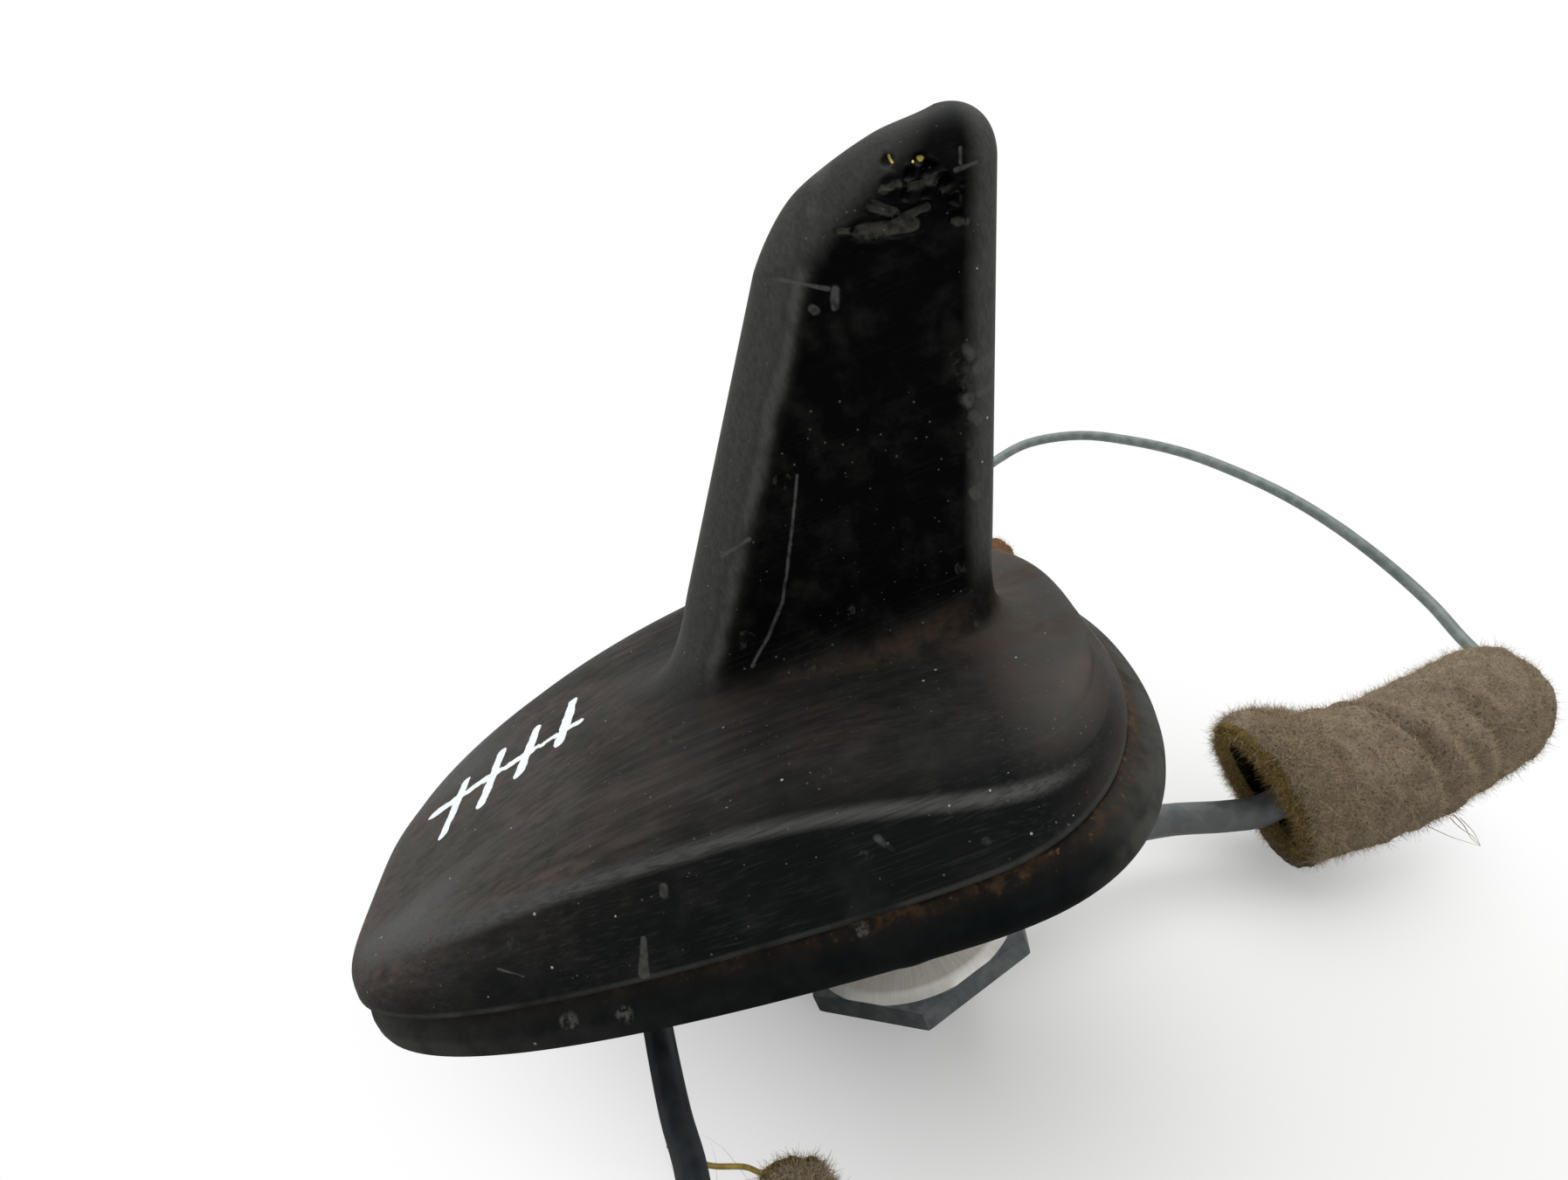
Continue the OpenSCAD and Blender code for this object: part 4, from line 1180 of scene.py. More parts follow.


# %% [markdown]
# ## Black plastic, faded and scratched
# The cover was dyed black. What faces up, most towards the nose, and what faces back is a
# brownish dark grey with fine streaks along the car: partly faded by sun and car washes,
# partly a painted highlight of the light from above. The fin's sides are still deep black.
# Dirt has settled in the fillet round the fin. The scratches are strokes with listed ends.

# %% Scratches and marks on the cover, in millimetres
SCRATCHES = [
    # start, end, width, softness of the edge, wobble
    ((12.9, -4.5, 59.2), (17.6, -5.1, 56.2), 0.25, 0.2, 0.2),
    ((18.2, -5.1, 55.8), (17.7, -5.2, 54.4), 0.5, 0.3, 0.5),
    ((8.0, -5.5, 39.7), (5.5, -5.6, 34.7), 0.12, 0.18, 0.3),
    ((5.5, -5.6, 34.7), (1.5, -5.7, 27.2), 0.14, 0.2, 0.3),
    ((1.5, -5.7, 27.2), (-1.2, -5.8, 24.2), 0.2, 0.2, 0.3),
    ((-1.2, -5.8, 24.2), (-4.4, -6.4, 21.6), 0.16, 0.2, 0.3),
    ((0.6, -5.5, 40.4), (2.0, -5.5, 41.2), 0.25, 0.2, 0.2),
    ((32.9, -4.9, 62.0), (35.0, -4.4, 61.9), 0.2, 0.25, 0.2),
    ((34.0, -4.3, 63.7), (33.5, -4.7, 62.4), 0.12, 0.2, 0.2),
    ((-2.6, -4.6, 34.2), (0.8, -5.3, 35.1), 0.28, 0.25, 0.3),
    ((4.8, -5.3, 48.6), (7.4, -5.3, 49.6), 0.12, 0.15, 0.3),
    ((-37.5, -26.4, 10.1), (-35.1, -27.4, 8.9), 0.12, 0.14, 0.4),
    ((26.8, -21.3, 8.1), (24.4, -27.0, 6.5), 0.12, 0.15, 0.1),
    ((3.0, -30.9, 12.2), (4.4, -31.5, 9.6), 0.5, 0.35, 0.4),
    ((32.3, -0.2, 7.6), (30.4, -7.3, 9.1), 0.7, 0.5, 1.2)]
SCUFFS = [
    ((27.6, -4.6, 45.2), (26.9, -4.8, 38.5), 1.3, 0.7, 1.6),
    ((26.4, -4.8, 36.0), (25.4, -5.0, 30.0), 1.1, 0.8, 1.8),
    ((1.0, -5.0, 46.0), (-1.5, -5.2, 41.0), 1.4, 1.2, 1.6),
    ((9.5, -4.5, 60.0), (6.0, -5.0, 54.0), 1.2, 1.4, 1.6)]
SMEARS = [
    ((28.4, -4.6, 45.6), (28.8, -4.6, 44.6), 0.9, 0.45, 0.8),
    ((29.0, -4.6, 43.0), (31.2, -3.6, 43.1), 1.0, 0.4, 0.8),
    ((28.4, -4.6, 40.4), (30.7, -3.6, 40.3), 0.45, 0.35, 0.6),
    ((27.2, -4.8, 40.6), (27.0, -4.8, 40.0), 0.8, 0.4, 0.8),
    ((27.0, -4.7, 38.6), (27.4, -4.7, 37.9), 0.9, 0.4, 0.8),
    ((24.6, -5.0, 30.7), (24.8, -5.0, 30.2), 0.8, 0.4, 0.7),
    ((-17.9, -28.8, 13.9), (-18.1, -29.0, 13.2), 0.5, 0.3, 0.3),
    ((15.5, -5.2, 55.0), (15.7, -5.2, 54.7), 0.5, 0.3, 0.5)]
DROPS = [((-21.7, -29.8, 9.8), (-23.1, -30.5, 6.5), 0.36, 0.2, 0.15)]
DROP_TAPER = -1.5
MELTED = [
    ((20.6, -4.8, 60.9), (22.4, -4.8, 60.1), 0.5, 0.2, 0.1),
    ((22.4, -4.8, 60.0), (27.4, -4.8, 58.9), 1.15, 0.3, 0.3),
    ((24.3, -4.8, 61.9), (26.2, -4.8, 60.5), 0.8, 0.3, 0.2),
    ((26.2, -4.8, 59.7), (29.2, -4.8, 59.8), 0.6, 0.3, 0.2),
    ((25.8, -4.4, 62.8), (27.4, -4.4, 62.7), 0.7, 0.3, 0.2),
    ((28.2, -4.6, 62.3), (29.4, -4.6, 62.2), 0.7, 0.3, 0.2),
    ((30.2, -4.6, 62.1), (31.0, -4.6, 62.0), 0.8, 0.3, 0.2),
    ((31.4, -4.6, 60.5), (32.4, -4.6, 60.4), 0.7, 0.3, 0.2),
    ((33.0, -4.5, 60.0), (32.5, -4.7, 58.4), 0.35, 0.2, 0.2),
    ((31.2, -4.7, 57.4), (32.3, -4.7, 57.2), 0.7, 0.3, 0.2)]
# Bare brass shows in two of the pits: a short upright line in one, two spots in the other
BRASS_LINE_X, BRASS_LINE_Z = 27.6, 65.1
BRASS_SPOTS = [
    ((30.25, -4.8, 64.1), (30.25, -1.2, 64.1), 0.42, 0.14, 0.4),
    ((29.4, -4.8, 64.2), (29.4, -1.2, 64.2), 0.14, 0.1, 0.3)]
print("scratches:", len(SCRATCHES), "smears:", len(SMEARS), "melted places:", len(MELTED))

# %% [markdown]
# ## Tally strokes
# Plain tally strokes in white paint stand on the slope ahead of the fin. A picture of them
# could be wrapped on, but each is one more stroke of the group above, so it has a thickness
# in the bump and stays sharp at any distance. Noise makes the brush's cover uneven.

# %% Tally strokes
TALLY = [
    # start, end, width, softness of the edge, wobble
    ((-29.6, 12.6, 16.5), (-30.6, 3.0, 16.7), 1.8, 0.12, 0.8),
    ((-35.2, 11.4, 15.4), (-36.6, 2.2, 15.2), 1.6, 0.12, 0.8),
    ((-40.8, 11.6, 14.0), (-42.2, 1.2, 13.6), 1.65, 0.12, 0.8),
    ((-46.6, 10.8, 12.5), (-48.0, 0.6, 12.0), 1.5, 0.12, 0.8),
    ((-27.6, 5.0, 17.1), (-51.6, 8.4, 11.2), 1.45, 0.12, 1.3)]
print("tally strokes:", len(TALLY))

# %% [markdown]
# ## Highlights on the edges
# The rounded edges of the fin and the crease along the shoulder catch the light, so they are
# painted lighter than the rest: painted highlights. The lower rim of the cover is lighter too.
# They could be painted as a picture. But each lies on a line or curve that is known from the
# rings, so a mask made from the place alone fits it exactly.

# %% Painted highlight bands on the fin's edges
# Where the fin's front and rear edges would meet the roof, and the line along its top
FRONT_LINE_X, BACK_LINE_X = -28.5, 18.0
TOP_SLOPE, TOP_LINE_Z = 0.516, 53.6
SWAY = 2.2


def fin_edge_highlights(tree, place, axes):
    """Painted highlight on the fin's rounded edges, at its front, rear and top, broken by streaks."""
    sway = calc(tree, "SUBTRACT", clouds(tree, place, 0.16, 3.0), 0.5)
    sway = calc(tree, "MULTIPLY", sway, SWAY)
    # How far a place lies behind the front edge, before the rear edge and under the top
    front_gap = calc(tree, "SUBTRACT", calc(tree, "SUBTRACT", axes["X"], FRONT_LINE_X),
                     calc(tree, "MULTIPLY", axes["Z"], FRONT_LEAN))
    back_gap = calc(tree, "SUBTRACT", calc(tree, "MULTIPLY", axes["Z"], BACK_LEAN),
                    calc(tree, "SUBTRACT", axes["X"], BACK_LINE_X))
    front = calc(tree, "ADD", front_gap, sway)
    back = calc(tree, "ADD", back_gap, calc(tree, "MULTIPLY", sway, 0.6))
    streak = times(tree, ramp(tree, front, 6.4, 5.0), ramp(tree, front, 3.8, 4.9),
                   ramp(tree, clouds(tree, place, 0.12, 2.0), 0.4, 0.6, 0.1, 0.7))
    top_line = calc(tree, "ADD", calc(tree, "MULTIPLY", axes["X"], TOP_SLOPE), TOP_LINE_Z)
    top_gap = calc(tree, "SUBTRACT", top_line, axes["Z"])
    top = calc(tree, "ADD", top_gap, calc(tree, "MULTIPLY", sway, 0.5))
    grey = calc(tree, "MAXIMUM", ramp(tree, front, 7.4, 2.6, 0.0, 0.95), ramp(tree, back, 4.8, 1.9))
    grey = calc(tree, "MAXIMUM", grey, ramp(tree, top, 4.6, 1.2, 0.0, 0.72))
    grey = calc(tree, "ADD", grey, streak)
    wrinkles = clouds(tree, stretched(tree, place, (2.4, 2.4, 0.7)), 1.0, 4.0, 0.7)
    return times(tree, grey, ramp(tree, wrinkles, 0.3, 0.66, 0.88, 1.3),
                 ramp(tree, axes["Z"], 18.0, 25.0))


# %% Crease highlight, dirt and haze


def crease_highlight(tree, axes, wide):
    """A painted highlight on the crease that runs along the shoulder, placed by the formula of its
    rings.
    """
    s = calc(tree, "DIVIDE", calc(tree, "SUBTRACT", axes["X"], CREASE_PLAN[0]), CREASE_LENGTH,
             clamp=True)
    p = calc(tree, "SUBTRACT", 1.0, calc(tree, "DIVIDE", s, CREST), clamp=True)
    climb = calc(tree, "SUBTRACT", 1.0, calc(tree, "POWER", p, CREST_POWER))
    q = calc(tree, "DIVIDE", calc(tree, "SUBTRACT", s, CREST), 1 - CREST, clamp=True)
    bend = calc(tree, "SUBTRACT", 3.0, calc(tree, "MULTIPLY", q, 2.0))
    fall = calc(tree, "SUBTRACT", 1.0, times(tree, q, q, bend))
    hump = calc(tree, "MULTIPLY", calc(tree, "MINIMUM", climb, fall), SHOULDER_RISE)
    edge = calc(tree, "SUBTRACT", SHOULDER_NOSE_Z, calc(tree, "MULTIPLY", s, CREASE_DROP))
    off = calc(tree, "ABSOLUTE", calc(tree, "SUBTRACT", axes["Z"], calc(tree, "ADD", hump, edge)))
    return times(tree, ramp(tree, off, 1.1, 0.1), ramp(tree, wide, 9.0, 14.0),
                 ramp(tree, axes["X"], 27.0, 17.0))


def fillet_dirt(tree, place, axes, wide):
    """Dirt in the fillet round the fin and behind it."""
    fillet = times(tree, ramp(tree, wide, 11.5, 7.6), ramp(tree, wide, 4.0, 6.4),
                   ramp(tree, axes["X"], -20.0, 4.0), ramp(tree, axes["Z"], 21.0, 18.0))
    behind = times(tree, ramp(tree, axes["X"], 20.0, 23.5), ramp(tree, axes["X"], 29.0, 25.5),
                   ramp(tree, wide, 12.0, 6.0), ramp(tree, axes["Z"], 20.0, 17.0))
    dirt = patches(tree, place, 3.4, 0.28, 0.78)
    return times(tree, calc(tree, "MAXIMUM", fillet, behind), dirt)


def hazed_and_highlit_cover(tree, place, axes, wide, fine, mottle, colour):
    """Haze over the whole cover, then painted highlights on the fin's edges and the crease, and a
    lighter lower rim.
    """
    haze = times(tree, ramp(tree, fine, 0.48, 0.75), ramp(tree, axes["Z"], 26.0, 16.0, 0.15, 1.0),
                 ramp(tree, mottle, 0.35, 0.65, 0.2, 1.0))
    colour = tint(tree, colour, haze, 0.32, (0.050, 0.050, 0.045))
    colour = tint(tree, colour, patches(tree, place, 5.0, 0.46, 0.72), 0.13, (0.050, 0.050, 0.047))
    # Painted highlight on the fin's rounded edges
    colour = tint(tree, colour, fin_edge_highlights(tree, place, axes), 0.74, (0.058, 0.058, 0.054))
    # Painted highlight along the shoulder's crease
    crease = times(tree, crease_highlight(tree, axes, wide), ramp(tree, fine, 0.3, 0.6, 0.5, 1.1))
    colour = tint(tree, colour, crease, 0.9, (0.070, 0.070, 0.067))
    # The lowest band of the cover, along its lower edge, is lighter
    rim = times(tree, ramp(tree, axes["Z"], 6.5, 6.1), ramp(tree, mottle, 0.3, 0.6, 0.3, 1.0))
    return tint(tree, colour, rim, 0.6, (0.045, 0.046, 0.042))


# %% Faded plastic


def faded_and_highlit_plastic(tree, place, axes, streaks, mottle):
    """Deep black below, and a brownish grey where the cover faces up or back: sun fading and painted
    highlight.
    """
    normal = facing(tree)
    rise = vector_calc(tree, "DOT_PRODUCT", normal, (-0.42, 0.03, 0.91))
    rear_rise = vector_calc(tree, "DOT_PRODUCT", normal, (0.45, 0.1, 0.89))
    black = blend(tree, ramp(tree, axes["Z"], 15.0, 23.0), (0.0048, 0.0060, 0.0056),
                  (0.0009, 0.0010, 0.0009))
    # Painted highlight as well as sun fading: lighter where the surface faces up and towards the nose,
    # where the light from above falls
    fade_and_highlight = times(tree, ramp(tree, rise, 0.22, 0.98), ramp(tree, axes["X"], 0.0, -46.0, 0.24, 1.0),
                 ramp(tree, streaks, 0.3, 0.7, 0.5, 1.28))
    fade_and_highlight = calc(tree, "MULTIPLY", fade_and_highlight, ramp(tree, mottle, 0.3, 0.7, 0.8, 1.15), clamp=True)
    rear = times(tree, ramp(tree, rear_rise, 0.35, 0.95), ramp(tree, axes["X"], 14.0, 27.0), 0.95)
    grey = blend(tree, ramp(tree, clouds(tree, place, 0.09, 3.0), 0.4, 0.62),
                 (0.048, 0.046, 0.041), (0.066, 0.052, 0.047))
    grey = blend(tree, ramp(tree, axes["Z"], 24.0, 34.0), grey, (0.026, 0.029, 0.027))
    return blend(tree, calc(tree, "MAXIMUM", fade_and_highlight, rear), black, grey)


# %% Marks, dust and brass


def marked_cover(tree, place, colour, scuffs, lines):
    """Scuffs, smears, scratches and melted plastic: strokes, broken up by noise."""
    colour = tint(tree, colour, scuffs, 0.4, (0.05, 0.048, 0.045))
    smears = any_of(tree, [strokes(tree, place, SMEARS), strokes(tree, place, DROPS, DROP_TAPER)])
    smears = times(tree, smears, ramp(tree, clouds(tree, place, 1.5, 3.0), 0.3, 0.6, 0.5, 1.0))
    colour = tint(tree, colour, smears, 0.75, (0.066, 0.065, 0.060))
    colour = tint(tree, colour, lines, 0.65, (0.085, 0.086, 0.084))
    melted = times(tree, strokes(tree, place, MELTED),
                   ramp(tree, clouds(tree, place, 1.1, 4.0), 0.3, 0.62, 0.35, 1.0))
    return tint(tree, colour, melted, 0.75, (0.058, 0.056, 0.047))


def dusty_cover(tree, place, colour):
    """Blots where drops have dried, and dust of two sizes."""
    blots = times(tree, dust(tree, place, 5.0, 1.3, 0.5), patches(tree, place, 0.9, 0.48, 0.66))
    colour = tint(tree, colour, blots, 0.22, (0.09, 0.09, 0.085))
    colour = tint(tree, colour, dust(tree, place, 0.9, 0.13, 0.5), 0.26, (0.20, 0.20, 0.19))
    return tint(tree, colour, dust(tree, place, 2.0, 0.17, 0.5), 0.8, (0.34, 0.33, 0.31))


def brass_in_pits(tree, place, axes):
    off_x = calc(tree, "ABSOLUTE", calc(tree, "SUBTRACT", axes["X"], BRASS_LINE_X))
    off_z = calc(tree, "ABSOLUTE", calc(tree, "SUBTRACT", axes["Z"], BRASS_LINE_Z))
    line = times(tree, ramp(tree, off_x, 0.13, 0.07), ramp(tree, off_z, 0.45, 0.36),
                 ramp(tree, axes["Y"], 0.0, -0.5))
    return any_of(tree, [line, strokes(tree, place, BRASS_SPOTS)])


# %% Finish of the cover


def cover_finish():
    material, tree, shader, place = start_material("cover_black_plastic", specular=0.02)
    axes = split(tree, place)
    wide = calc(tree, "ABSOLUTE", axes["Y"])
    streaks = clouds(tree, stretched(tree, place, (0.035, 0.9, 1.3)), 1.0, 6.0, 0.7)
    fine = clouds(tree, stretched(tree, place, (0.12, 3.2, 4.0)), 1.0, 4.0, 0.6)
    mottle = clouds(tree, place, 0.16, 4.0)
    colour = faded_and_highlit_plastic(tree, place, axes, streaks, mottle)
    colour = hazed_and_highlit_cover(tree, place, axes, wide, fine, mottle, colour)
    dirt = fillet_dirt(tree, place, axes, wide)
    colour = tint(tree, colour, dirt, 0.9, (0.044, 0.029, 0.021))
    scuffs = times(tree, strokes(tree, place, SCUFFS), patches(tree, place, 0.8, 0.42, 0.62))
    lines = times(tree, strokes(tree, place, SCRATCHES),
                  ramp(tree, clouds(tree, place, 0.8, 4.0), 0.3, 0.6, 0.35, 1.0))
    colour = marked_cover(tree, place, colour, scuffs, lines)
    colour = dusty_cover(tree, place, colour)
    paint = times(tree, strokes(tree, place, TALLY),
                  ramp(tree, clouds(tree, place, 1.6, 5.0, 0.7), 0.30, 0.42, 0.72, 1.0))
    colour = blend(tree, paint, colour, (0.70, 0.735, 0.75))
    colour = blend(tree, brass_in_pits(tree, place, axes), colour, (0.74, 0.60, 0.16))
    feed(tree, shader, "Base Color", colour)
    rough = calc(tree, "ADD", 0.34, calc(tree, "MULTIPLY", streaks, 0.26))
    dull = calc(tree, "MAXIMUM", dirt, scuffs)
    rough = calc(tree, "ADD", rough, calc(tree, "MULTIPLY", dull, 0.2))
    feed(tree, shader, "Roughness", rough)
    grain = use(tree, grain_group, {"Place": place, "Size": 0.34})["Height"]
    height = calc(tree, "SUBTRACT", grain, calc(tree, "MULTIPLY", lines, 1.6))
    height = calc(tree, "ADD", height, calc(tree, "MULTIPLY", paint, 0.8))
    set_bump(tree, shader, height, 0.03)
    return material


cover.data.materials.append(cover_finish())
print("nodes in the cover's finish:", len(cover.data.materials[0].node_tree.nodes))

# %% [markdown]
# ## Rubber with rust-brown dirt
# The gasket is blue-black rubber with a dull skin, lighter where it faces back or forward.
# Rust-coloured dirt lies in the groove under the cover's edge, thickest at the rear, and has
# crept down the slope.

# %% Rubber
BLOBS = [
    # start, end, width, softness of the edge, wobble
    ((-33.1, -29.1, 3.3), (-32.6, -29.3, 3.2), 1.1, 0.5, 1.2),
    ((-27.0, -30.8, 3.0), (-26.6, -30.9, 2.8), 0.9, 0.5, 1.2),
    ((-1.7, -33.2, 5.2), (-1.5, -33.4, 4.6), 0.9, 0.3, 1.2)]


def rusty_rubber(tree, place, axes, mottle, slope, colour):
    """Rust-brown dirt in the groove with yellow crumbs in it; returns colour and dirt."""
    rear = ramp(tree, axes["X"], -30.0, 22.0, 0.35, 1.0)
    uneven = calc(tree, "ADD", axes["Z"], calc(tree, "MULTIPLY", mottle, 1.2))
    groove = ramp(tree, uneven, 4.3, 5.9)
    crust = times(tree, patches(tree, place, 1.6, 0.40, 0.58), patches(tree, place, 7.0, 0.38, 0.62))
    rust = times(tree, times(tree, groove, rear), crust)
    yellow = times(tree, patches(tree, place, 0.8, 0.60, 0.72), groove, rear)
    colour = tint(tree, colour, slope, 0.5, (0.018, 0.013, 0.010))
    colour = blend(tree, rust, colour, (0.058, 0.034, 0.019))
    return blend(tree, yellow, colour, (0.10, 0.070, 0.03)), rust


def rubber_finish():
    material, tree, shader, place = start_material("gasket_rubber", specular=0.03)
    axes = split(tree, place)
    mottle = clouds(tree, place, 0.3, 5.0, 0.6)
    colour = blend(tree, ramp(tree, mottle, 0.35, 0.7), (0.0018, 0.0029, 0.0033),
                   (0.0042, 0.0054, 0.0056))
    # Lighter where the skirt faces back, and less so where it faces forward
    way = split(tree, facing(tree))["X"]
    dull = calc(tree, "MAXIMUM", ramp(tree, way, 0.2, 0.8), ramp(tree, way, -0.02, -0.6, 0.0, 0.75))
    dull = calc(tree, "MULTIPLY", dull, ramp(tree, mottle, 0.3, 0.6, 0.5, 1.0))
    colour = tint(tree, colour, dull, 0.85, (0.054, 0.053, 0.046))
    slope = ramp(tree, axes["Z"], 2.9, 5.3)
    colour, rust = rusty_rubber(tree, place, axes, mottle, slope, colour)
    blobs = calc(tree, "MULTIPLY", strokes(tree, place, BLOBS),
                 ramp(tree, clouds(tree, place, 1.8, 4.0), 0.42, 0.58))
    colour = tint(tree, colour, blobs, 0.5, (0.10, 0.10, 0.09))
    colour = tint(tree, colour, dust(tree, place, 1.9, 0.18, 0.4), 0.7, (0.24, 0.23, 0.21))
    feed(tree, shader, "Base Color", colour)
    feed(tree, shader, "Roughness", calc(tree, "ADD", 0.5, calc(tree, "MULTIPLY", slope, 0.25)))
    crumbs = clouds(tree, place, 2.2, 5.0, 0.65)
    set_bump(tree, shader, calc(tree, "ADD", crumbs, calc(tree, "MULTIPLY", rust, 1.5)), 0.06)
    return material


gasket.data.materials.append(rubber_finish())
print("nodes in the rubber:", len(gasket.data.materials[0].node_tree.nodes))

# %% [markdown]
# ## Metals
# The nut's flats are dull grey plating with small bright nicks. Its seat was turned and has
# worn bright, with short marks that run outwards. Polar coordinates, the angle and the radius
# about the stud, turn plain noise into those marks. Seat and ledge lie in the gasket's shade,
# so their colours are raised as painted light: the seat above its worn brightness, the ledge
# as a lighter copy of the plating. The cast base is rough and grey.

# %% Metal finishes


def polar(tree, place):
    """Angle and radius about the stud's axis as a place for a pattern."""
    axes = split(tree, place)
    angle = calc(tree, "ARCTAN2", axes["Y"], axes["X"])
    radius = calc(tree, "SQRT", calc(tree, "ADD", calc(tree, "POWER", axes["X"], 2.0),
                                     calc(tree, "POWER", axes["Y"], 2.0)))
    around = add(tree, "ShaderNodeCombineXYZ", {"X": calc(tree, "MULTIPLY", angle, 30.0),
                                                "Y": radius, "Z": axes["Z"]})
    return around.outputs[0], radius


def zinc_finish(name, dark, light):
    material, tree, shader, place = start_material(name, metallic=0.3, specular=0.4)
    mottle = clouds(tree, place, 0.5, 6.0, 0.65)
    colour = blend(tree, ramp(tree, mottle, 0.35, 0.7), dark, light)
    colour = tint(tree, colour, dust(tree, place, 2.2, 0.45, 0.3), 0.25, (0.30, 0.31, 0.32))
    feed(tree, shader, "Base Color", colour)
    feed(tree, shader, "Roughness", ramp(tree, mottle, 0.3, 0.7, 0.42, 0.62))
    set_bump(tree, shader, clouds(tree, place, 3.0, 5.0), 0.03)
    return material


def lightened_seat_finish():
    material, tree, shader, place = start_material("turned_seat_lightened", metallic=0.1)
    around, radius = polar(tree, place)
    marks = clouds(tree, stretched(tree, around, (1.7, 0.10, 0.3)), 1.0, 6.0, 0.75)
    soft = clouds(tree, stretched(tree, around, (0.35, 0.25, 0.3)), 1.0, 3.0)
    # Painted light: the seat's colours are raised above its worn brightness, as it lies in the
    # gasket's shade
    colour = blend(tree, ramp(tree, marks, 0.32, 0.7), (0.74, 0.68, 0.60), (0.92, 0.89, 0.83))
    colour = tint(tree, colour, ramp(tree, soft, 0.4, 0.7), 0.4, (0.66, 0.58, 0.50))
    colour = tint(tree, colour, ramp(tree, radius, 12.7, 13.1), 0.4, (0.80, 0.80, 0.78))
    feed(tree, shader, "Base Color", colour)
    feed(tree, shader, "Roughness", ramp(tree, marks, 0.3, 0.7, 0.55, 0.36))
    set_bump(tree, shader, marks, 0.03)
    return material


def cast_finish():
    material, tree, shader, place = start_material("die_cast_zinc", metallic=0.75)
    mottle = clouds(tree, place, 0.35, 5.0, 0.6)
    colour = blend(tree, ramp(tree, mottle, 0.35, 0.7), (0.28, 0.285, 0.29), (0.42, 0.42, 0.415))
    feed(tree, shader, "Base Color", colour)
    feed(tree, shader, "Roughness", ramp(tree, mottle, 0.3, 0.7, 0.38, 0.58))
    set_bump(tree, shader, clouds(tree, place, 2.5, 5.0), 0.05)
    return material


nut.data.materials.append(zinc_finish("zinc_plate", (0.050, 0.060, 0.062), (0.100, 0.110, 0.110)))
nut.data.materials.append(lightened_seat_finish())
# Painted light: the ledge is a lighter copy of the plating, as it lies in the gasket's shade
nut.data.materials.append(zinc_finish("zinc_ledge_lightened", (0.13, 0.15, 0.155), (0.24, 0.26, 0.26)))
base.data.materials.append(cast_finish())
print("metals on the nut:", [metal.name for metal in nut.data.materials])

# %% [markdown]
# ## Cable jackets, wire and plugs
# The jackets are vinyl, from near black to slate grey, satin and a little dusty. The grey of
# the rear lead and the slate of the thin lead are partly their own colour and partly painted
# light. The loose wire is yellow, and the plug in the long sleeve is amber plastic.

# %% Leads and plugs


def jacket_finish(name, dark, light):
    material, tree, shader, place = start_material(name, specular=0.45)
    mottle = clouds(tree, place, 0.35, 4.0)
    colour = blend(tree, ramp(tree, mottle, 0.35, 0.7), dark, light)
    colour = tint(tree, colour, dust(tree, place, 1.6, 0.12, 0.2), 0.5, (0.16, 0.16, 0.155))
    feed(tree, shader, "Base Color", colour)
    feed(tree, shader, "Roughness", ramp(tree, mottle, 0.3, 0.7, 0.40, 0.55))
    set_bump(tree, shader, clouds(tree, place, 1.2, 4.0), 0.03)
    return material


def plain_finish(name, dark, light, roughness, metallic=0.0, size=1.2, depth=0.02, specular=0.5):
    """A finish with two close colours in soft patches, for small parts."""
    material, tree, shader, place = start_material(name, metallic=metallic, specular=specular)
    mottle = clouds(tree, place, 1.0 / size, 5.0, 0.6)
    feed(tree, shader, "Base Color", blend(tree, ramp(tree, mottle, 0.35, 0.68), dark, light))
    spread = ramp(tree, mottle, 0.3, 0.7, roughness - 0.06, roughness + 0.08)
    feed(tree, shader, "Roughness", spread)
    set_bump(tree, shader, clouds(tree, place, 2.6 / size, 4.0), depth)
    return material


jacket = jacket_finish("vinyl_black", (0.014, 0.018, 0.022), (0.030, 0.035, 0.038))
# Lighter copies of the jacket: their own grey, and painted light on leads that lie in brighter light
grey_lightened_jacket = jacket_finish("vinyl_grey_lightened", (0.044, 0.050, 0.051), (0.076, 0.082, 0.080))
slate_highlit_jacket = jacket_finish("vinyl_slate_highlit", (0.086, 0.109, 0.103), (0.145, 0.172, 0.161))
yellow_vinyl = plain_finish("yellow_vinyl", (0.42, 0.28, 0.05), (0.62, 0.45, 0.10), 0.45)
for lead, finish in ((lead_front, jacket), (lead_rear, grey_lightened_jacket), (lead_thin, slate_highlit_jacket),
                     (yellow_wire, yellow_vinyl)):
    lead.data.materials.append(finish)
amber = plain_finish("amber_plastic", (0.42, 0.17, 0.015), (0.62, 0.29, 0.03), 0.35, size=3.0)
brass = plain_finish("plug_brass", (0.45, 0.31, 0.10), (0.62, 0.46, 0.20), 0.33, metallic=0.9)
print("finishes so far:", len(bpy.data.materials))

# %% [markdown]
# ## Foam
# Open foam with a felted skin swallows light: no gloss, dark pores, and a skin of lighter
# fibres. The colours differ from sleeve to sleeve and from skin to cut end, so they are
# arguments. The folds and the bore are also darkened as painted shade, because little light
# gets into them.

# %% Dark folds of the long sleeve


def skin_place(piece, rows, t, angle):
    """A point in millimetres on the long sleeve's skin, for a mark that follows it."""
    row = round(t * (rows - 1))
    column = round(angle / 360 * SLEEVE_SIDES) % SLEEVE_SIDES
    return tuple(piece.data.vertices[row * SLEEVE_SIDES + column].co / MM)


